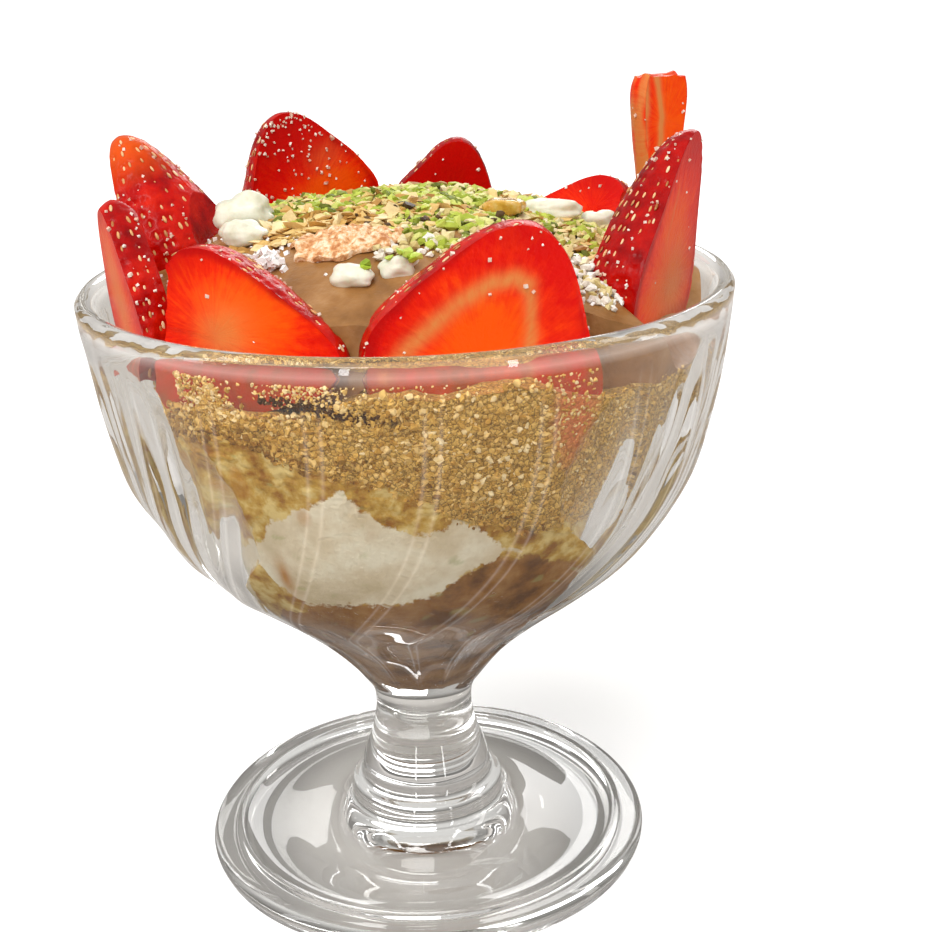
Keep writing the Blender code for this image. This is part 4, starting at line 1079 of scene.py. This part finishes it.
# each kind: patches of (centre, half size, count), then size range in mm, flatness, height of the pile, how far it
# is lifted off the gelato, colours
nuts = {
    "pistachio": {"patches": [((8, -9), (12, 12), 330), ((-14, 1), (14, 7), 170), ((2, 4), (26, 12), 260),
                              ((27, -6), (8, 9), 120), ((-8, -6), (16, 9), 90), ((29, -18), (5, 8), 40),
                              ((7, -21), (9, 6), 90)],
                  "size": (0.6, 1.6), "flat": 0.5, "above": 0.4,
                  "colours": [(0.12, 0.14, 0.015), (0.34, 0.42, 0.04), (0.54, 0.62, 0.1), (0.72, 0.7, 0.28)],
                  "roughness": 0.5, "size mm": 0.8, "jitter": 0.35},
    "nutFlakes": {"patches": [((-12, -9), (15, 9), 190), ((0, -13), (12, 8), 130), ((-20, -14), (8, 5), 40),
                              ((0, 0), (28, 16), 150), ((26, -12), (8, 12), 60)],
                  "size": (0.9, 2.4), "flat": 0.2, "above": 0.6,
                  "colours": [(0.34, 0.15, 0.03), (0.62, 0.36, 0.1), (0.8, 0.57, 0.22), (0.9, 0.74, 0.42)],
                  "roughness": 0.55, "size mm": 1.2, "jitter": 0.3},
    "paleBits": {"patches": [((26, -8), (10, 12), 230), ((2, 0), (28, 16), 200), ((29, -26), (5, 9), 50),
                             ((4, -22), (13, 8), 110), ((20, 6), (14, 8), 90)],
                 "size": (0.45, 1.2), "flat": 0.7, "above": 0.4,
                 "colours": [(0.56, 0.44, 0.16), (0.76, 0.64, 0.32), (0.86, 0.78, 0.52)], "roughness": 0.6,
                 "size mm": 0.7, "jitter": 0.35},
    "greenTips": {"patches": [((-6.4, -34.2), (0.9, 0.6), 3), ((-0.5, -32.5), (2.2, 1.2), 7),
                              ((19, -9), (1.5, 1), 3)],
                  "size": (0.7, 1.5), "flat": 0.5, "above": 0.8, "lift": 1.9,
                  "colours": [(0.2, 0.3, 0.02), (0.42, 0.6, 0.05), (0.6, 0.75, 0.15)], "roughness": 0.45,
                  "size mm": 0.8, "jitter": 0.3},
    "whiteBits": {"patches": [((28.5, -29), (5, 7), 120), ((2, -28), (7, 4), 36)],
                  "size": (0.35, 1.1), "flat": 0.7, "above": 0.7,
                  "colours": [(0.78, 0.7, 0.58), (0.88, 0.84, 0.76), (0.93, 0.92, 0.88)], "roughness": 0.3,
                  "size mm": 0.6, "jitter": 0.3},
    "darkBits": {"patches": [((-24, -7), (4, 3), 8), ((6, -12), (16, 9), 26)], "size": (0.5, 1.2), "flat": 0.6,
                 "above": 1.4, "colours": [(0.05, 0.025, 0.01), (0.12, 0.07, 0.03)], "roughness": 0.45,
                 "size mm": 1.0, "jitter": 0.35},
}
# pieces of cream: centre, length, width, height, and turn in degrees
creams = {
    "white_piece_1": ((-26, -3.5, 120.8), 10, 7.5, 6, 10),
    "white_piece_2": ((-26.4, -11.2, 118.8), 8.5, 5.5, 4.5, -15),
    "white_piece_3": ((-8, -33.3, 115.8), 7.5, 5, 4, -35),
    "white_piece_4": ((-1, -31.8, 116.6), 6, 4.5, 4, 20),
    "white_piece_5": ((24.5, -3.5, 119.6), 10, 5, 3.5, -15),
    "white_piece_6": ((33, -1.5, 117), 6, 4.5, 4, 30),
}
creamLook = {"dark": (0.6, 0.58, 0.43), "middle": (0.71, 0.7, 0.56), "light": (0.8, 0.79, 0.68), "size": 3.0,
             "roughness": 0.35, "bumpSize": 0.9, "bump": 0.08, "coat": 0.3, "glow": 0.1}
flake = {"centre": (-9.6, -22.8, 119.6), "length": 17.5, "width": 11, "thick": 1.1, "droop": 0.0115,
         "tilt": (13, -7, -8), "rings": 34, "columns": 110}
flakeLook = {"dark": (0.5, 0.2, 0.07), "middle": (0.74, 0.42, 0.2), "light": (0.9, 0.7, 0.5), "size": 1.1,
             "roughness": 0.5, "bumpSize": 0.5, "bump": 0.3, "contrast": 0.12}
amber = {"centre": (16.6, -8.5, 121.3), "size": (7.5, 4.5, 3), "turn": -20}
crystal = {"centre": (-20.9, -25.2, 117.3), "size": (5.4, 4, 3), "turn": 15, "count": 34}


def buildNuts():
    # angular chips: a twelve-cornered solid, every corner pushed in or out, laid on the gelato
    rng = np.random.default_rng(11)
    for name, spec in nuts.items():
        spots = [fieldSpots(rng, count, centre, half) for centre, half, count in spec["patches"]]
        x, y = np.hstack([spot[0] for spot in spots]), np.hstack([spot[1] for spot in spots])
        count = len(x)
        size = rng.uniform(*spec["size"], count)
        sizes = np.stack([size, size * rng.uniform(0.5, 0.9, count), size * spec["flat"]], axis=1)
        pile = spec["above"] * rng.uniform(0, 1, count) ** 1.5 + 0.3 * sizes[:, 2] + spec.get("lift", 0.0)
        places = onDome(x, y, pile)
        points, meshFaces = joinedCopies(icoPoints, icoFaces, places, randomTurns(rng, count, 0.28), sizes, rng,
                                         spec["jitter"])
        shade = np.repeat(rng.uniform(0, 1, count), len(icoPoints))
        look = {"colours": spec["colours"], "roughness": spec["roughness"], "size": spec["size mm"], "bump": 0.08}
        addPiece(name, points, meshFaces, [shadedMaterial(name + "Chips", look)],
                 fields={"shade": shade}, sharp=25)


def buildPuffs():
    # radius = 1 + lobes of softNoise, squashed to the piece's length, width and height
    material = mottledMaterial("whippedCream", creamLook)
    shape, shapeFaces = ball(30, 44)
    for name, (centre, length, width, height, turn) in creams.items():
        swell = 1 + 0.3 * softNoise(shape + np.array(centre), 0.7, 91) + 0.07 * softNoise(shape, 0.3, 92)
        local = shape * swell[:, None] * np.array([length, width, height]) / 2
        a = math.radians(turn)
        spin = np.array([[math.cos(a), -math.sin(a), 0], [math.sin(a), math.cos(a), 0], [0, 0, 1]])
        addPiece(name.replace("white_piece_", "creamPuff"), local @ spin.T + np.array(centre), shapeFaces,
                 [material], [name])


def buildFlake():
    # sheet: x, y = ragged oval, z = droop + crinkle, thickness either side, sugar lumps on top
    angle = 2 * np.pi * np.arange(flake["columns"]) / flake["columns"]
    reach = np.linspace(0.04, 1, flake["rings"])[:, None]
    ragged = 1 + 0.1 * np.sin(3 * angle + 1) + 0.06 * np.sin(7 * angle) + 0.04 * np.sin(13 * angle + 2)
    x = reach * ragged * np.cos(angle) * flake["length"] / 2
    y = reach * ragged * np.sin(angle) * flake["width"] / 2
    spot = np.stack([x, y, 0 * x], axis=-1)
    z = -flake["droop"] * (x * x + y * y) + 0.5 * softNoise(spot, 4.0, 95) + 0.3 * softNoise(spot, 1.6, 96)
    sugar = 0.6 * (1 - np.clip(grains(spot, 1.3, 97) / 0.7, 0, 1) ** 2)
    thick = flake["thick"] / 2 * np.sqrt(1 - 0.85 * reach ** 4)
    under, over = np.stack([x, y, z - thick], axis=-1), np.stack([x, y, z + thick + sugar], axis=-1)
    rows = np.concatenate([under, over[::-1]])
    points = shellPoints(rows, rows[0].mean(0), rows[-1].mean(0))
    tiltX, tiltY, turn = (math.radians(v) for v in flake["tilt"])
    spin = Matrix.Rotation(turn, 3, "Z") @ Matrix.Rotation(tiltX, 3, "X") @ Matrix.Rotation(tiltY, 3, "Y")
    spin = np.array(spin)
    addPiece("sugaredFlake", points @ spin.T + np.array(flake["centre"]), shellFaces(*rows.shape[:2]),
             [mottledMaterial("sugaredFlakeFinish", flakeLook)], ["biscuit_flake"], sharp=60)


def buildAmber():
    # rounded block: each axis sign(s) |s|^0.6 of a sphere, with soft lumps
    shape, shapeFaces = ball(22, 32)
    block = np.sign(shape) * np.abs(shape) ** 0.6
    block *= (1 + 0.16 * softNoise(shape, 0.7, 98) + 0.05 * softNoise(shape, 0.3, 99))[:, None]
    spin = np.array(Matrix.Rotation(math.radians(amber["turn"]), 3, "Z"))
    material, tree, shader = newMaterial("candiedFruit", Roughness=0.2, Transmission_Weight=0.35, IOR=1.45,
                                         Coat_Weight=0.4)
    colour, _ = useMottle(tree, ((0.62, 0.3, 0.03), (0.86, 0.5, 0.08), (0.95, 0.7, 0.25)), 1.6)
    tree.links.new(colour, shader.inputs["Base Color"])
    useRelief(tree, shader, 0.9, 0.12)
    points = (block * np.array(amber["size"]) / 2.2) @ spin.T + np.array(amber["centre"])
    addPiece("candiedPiece", points, shapeFaces, [material], ["amber_piece"])


def buildCrystals():
    # small tilted cubes: a cluster beside the flake, and loose sugar over the gelato
    rng = np.random.default_rng(17)
    count = crystal["count"]
    reach = rng.normal(0, 0.42, (count, 3)) * np.array(crystal["size"]) / 2
    places = reach + np.array(crystal["centre"])
    sizes = rng.uniform(0.45, 1.1, (count, 1)) * np.ones((1, 3)) * rng.uniform(0.7, 1.2, (count, 3))
    points, meshFaces = joinedCopies(cubePoints, cubeFaces, places, randomTurns(rng, count), sizes, rng, 0.1)
    material, _, _ = newMaterial("sugarCrystal", Base_Color=rgb(0.93, 0.92, 0.9), Roughness=0.2)
    addPiece("sugarCluster", points, meshFaces, [material], ["sugar_crystal"], sharp=20)

    spots = [fieldSpots(rng, 170, (-28, -8), (13, 20)), fieldSpots(rng, 120, (24, -24), (12, 12)),
             fieldSpots(rng, 160, (0, -8), (36, 26))]
    x, y = np.hstack([s[0] for s in spots]), np.hstack([s[1] for s in spots])
    places = onDome(x, y, 0.1)
    count = len(places)
    sizes = rng.uniform(0.25, 0.6, (count, 1)) * rng.uniform(0.6, 1.3, (count, 3))
    points, meshFaces = joinedCopies(cubePoints, cubeFaces, places, randomTurns(rng, count), sizes, rng, 0.15)
    grain, _, _ = newMaterial("sugarGrain", Base_Color=rgb(0.93, 0.91, 0.88), Roughness=0.12)
    addPiece("sugarGrains", points, meshFaces, [grain], sharp=20)


buildNuts()
buildPuffs()
buildFlake()
buildAmber()
buildCrystals()
print("toppings done")


# Floor, light and camera

studio = {
    # the third value below, a darker floor that rays other than the camera's see, is painted shade
    "floorRadius": 9.0, "floorColour": (0.93, 0.93, 0.93), "shadedFloorInGlass": (0.44, 0.42, 0.4), "floorLift": 0.1,
    # painted shadow under the foot: where in metres from the middle the floor in the glass darkens and lightens
    # again
    "footShadowRing": (0.02, 0.03, 0.06, 0.09), "footShadowShare": 0.45, "shadowAside": (0.012, 0.026, 0.0, 0.7),
    "shadowAsideLeast": 0.3,
    # the sky's colour and strength at the horizon and overhead, and the height (0 to 1) where it is half-way
    "low": (0.62, 0.6, 0.57), "high": (1.0, 0.99, 0.97), "lowStrength": 0.3, "highStrength": 0.75,
    "behindStrength": 1.8, "turnOver": (0.1, 0.6),
    "sunFrom": (-0.35, -0.45, 1.3), "sunStrength": 1.9, "sunSpread": 50.0,
    # name: place, width and height in metres, watts, colour
    "lights": {
        "leftStrip": ((-0.75, -0.25, 0.4), 0.12, 0.7, 1.1, (1.0, 1.0, 1.0)),
        "rightStrip": ((0.8, -0.1, 0.4), 0.12, 0.7, 1.1, (1.0, 0.98, 0.95)),
        "leftLowStrip": ((-0.22, -0.6, 0.16), 0.035, 0.32, 0.45, (1.0, 1.0, 1.0)),
        "rightLowStrip": ((0.34, -0.55, 0.16), 0.035, 0.32, 0.45, (1.0, 1.0, 1.0)),
        "frontSoftbox": ((-0.35, -0.8, 0.75), 0.3, 0.3, 2.2, (1.0, 1.0, 1.0)),
        "backSoftbox": ((0.2, 0.9, 0.55), 0.5, 0.3, 2.2, (1.0, 1.0, 1.0)),
    },
    "aim": (0.0, 0.0, 0.08),
}
camera = {"distance": 0.2552, "height": 0.1645, "yaw": 0.0364073, "pitch": 0.3430975, "roll": -0.0297183,
          "focalPixels": 1505.17, "framePixels": 932, "sensorMm": 36.0}


def buildFloor():
    turn = 2 * np.pi * np.arange(96) / 96
    rings = [np.stack([r * np.cos(turn), r * np.sin(turn), 0 * turn - 0.00005], axis=1)
             for r in np.geomspace(0.05, studio["floorRadius"], 12)]
    points = np.vstack([[(0, 0, -0.00005)]] + rings)
    fan = [(0, 1 + i, 1 + (i + 1) % 96) for i in range(96)]
    quads = []
    for k in range(11):
        low, high = 1 + k * 96, 1 + (k + 1) * 96
        quads += [(low + i, high + i, high + (i + 1) % 96, low + (i + 1) % 96) for i in range(96)]
    mesh = bpy.data.meshes.new("floor")
    mesh.from_pydata(points.tolist(), [], fan + quads)
    material, tree, shader = newMaterial("paleFloor", Roughness=0.6)
    colour, _ = useMottle(tree, ((0.92, 0.92, 0.92), studio["floorColour"], (0.94, 0.94, 0.94)), 60.0)
    # painted shade: rays other than the camera's see a darker floor, darkest in a ring under the foot and to its
    # sides
    seen = addNode(tree, "ShaderNodeLightPath").outputs["Is Camera Ray"]
    away = addNode(tree, "ShaderNodeVectorMath", operation="LENGTH")
    feed(tree, away.inputs[0], addNode(tree, "ShaderNodeTexCoord").outputs["Object"])
    a, b, c, d = studio["footShadowRing"]
    darker, lighter = spread(tree, away.outputs["Value"], a, b), spread(tree, away.outputs["Value"], d, c)
    under = mathNode(tree, "MULTIPLY", darker, lighter)
    across = addNode(tree, "ShaderNodeSeparateXYZ")
    feed(tree, across.inputs[0], addNode(tree, "ShaderNodeTexCoord").outputs["Object"])
    shadowAside = spread(tree, mathNode(tree, "ABSOLUTE", across.outputs[0]), *studio["shadowAside"])
    under = mathNode(tree, "MULTIPLY", under, mathNode(tree, "ADD", shadowAside, studio["shadowAsideLeast"]))
    shadedSeenInGlass = rgb(*(studio["footShadowShare"] * v for v in studio["shadedFloorInGlass"]))
    shadedSeenInGlass = mixColour(tree, under, rgb(*studio["shadedFloorInGlass"]), shadedSeenInGlass)
    tree.links.new(mixColour(tree, seen, shadedSeenInGlass, colour), shader.inputs["Base Color"])
    tree.links.new(mixColour(tree, seen, rgb(0, 0, 0), rgb(1, 1, 1)), shader.inputs["Emission Color"])
    shader.inputs["Emission Strength"].default_value = studio["floorLift"]
    mesh.materials.append(material)
    floor = bpy.data.objects.new("floor", mesh)
    bpy.context.scene.collection.objects.link(floor)


def buildLight():  # a sky that is dimmer towards the horizon, one broad soft sun, and softboxes for the glints
    world = bpy.data.worlds.new("softStudio")
    world.use_nodes = True
    tree = world.node_tree
    background = tree.nodes["Background"]
    way = addNode(tree, "ShaderNodeSeparateXYZ")
    feed(tree, way.inputs[0], addNode(tree, "ShaderNodeTexCoord").outputs["Generated"])
    lift = spread(tree, way.outputs[2], *studio["turnOver"])
    tree.links.new(mixColour(tree, lift, rgb(*studio["low"]), rgb(*studio["high"])), background.inputs["Color"])
    strength = spread(tree, lift, 0.0, 1.0, studio["lowStrength"], studio["highStrength"])
    seen = addNode(tree, "ShaderNodeLightPath").outputs["Is Camera Ray"]
    behind = mathNode(tree, "MULTIPLY", seen, studio["behindStrength"])
    tree.links.new(mathNode(tree, "MAXIMUM", strength, behind), background.inputs["Strength"])
    bpy.context.scene.world = world
    aim = Vector(studio["aim"])

    def place(name, data, spot):
        lamp = bpy.data.objects.new(name, data)
        lamp.location = spot
        lamp.rotation_euler = (aim - Vector(spot)).to_track_quat("-Z", "Y").to_euler()
        bpy.context.scene.collection.objects.link(lamp)
        return lamp

    sun = bpy.data.lights.new("softSun", "SUN")
    sun.energy = studio["sunStrength"]
    sun.angle = math.radians(studio["sunSpread"])
    place("softSun", sun, studio["sunFrom"]).visible_glossy = False  # its broad disc would veil the skins
    for name, (spot, wide, high, power, colour) in studio["lights"].items():
        data = bpy.data.lights.new(name, "AREA")
        data.shape = "RECTANGLE"
        data.size, data.size_y = wide, high
        data.energy = power
        data.color = colour
        place(name, data, spot)


def buildCamera():
    yaw, pitch, roll = camera["yaw"], camera["pitch"], camera["roll"]
    forward = Vector((math.sin(yaw) * math.cos(pitch), math.cos(yaw) * math.cos(pitch), -math.sin(pitch)))
    right = Vector((math.cos(yaw), -math.sin(yaw), 0))
    up = right.cross(forward)
    right, up = (math.cos(roll) * right + math.sin(roll) * up, math.cos(roll) * up - math.sin(roll) * right)
    matrix = Matrix((right, up, -forward)).transposed().to_4x4()
    matrix.translation = Vector((0, -camera["distance"], camera["height"]))
    data = bpy.data.cameras.new("photoView")
    data.sensor_width = camera["sensorMm"]
    data.lens = camera["sensorMm"] * camera["focalPixels"] / camera["framePixels"]
    data.clip_start = 0.01
    view = bpy.data.objects.new("photoView", data)
    view.matrix_world = matrix
    bpy.context.scene.collection.objects.link(view)
    bpy.context.scene.camera = view


buildFloor()
buildLight()
buildCamera()
bpy.context.scene.view_settings.view_transform = "Standard"
print("floor, light and camera done")
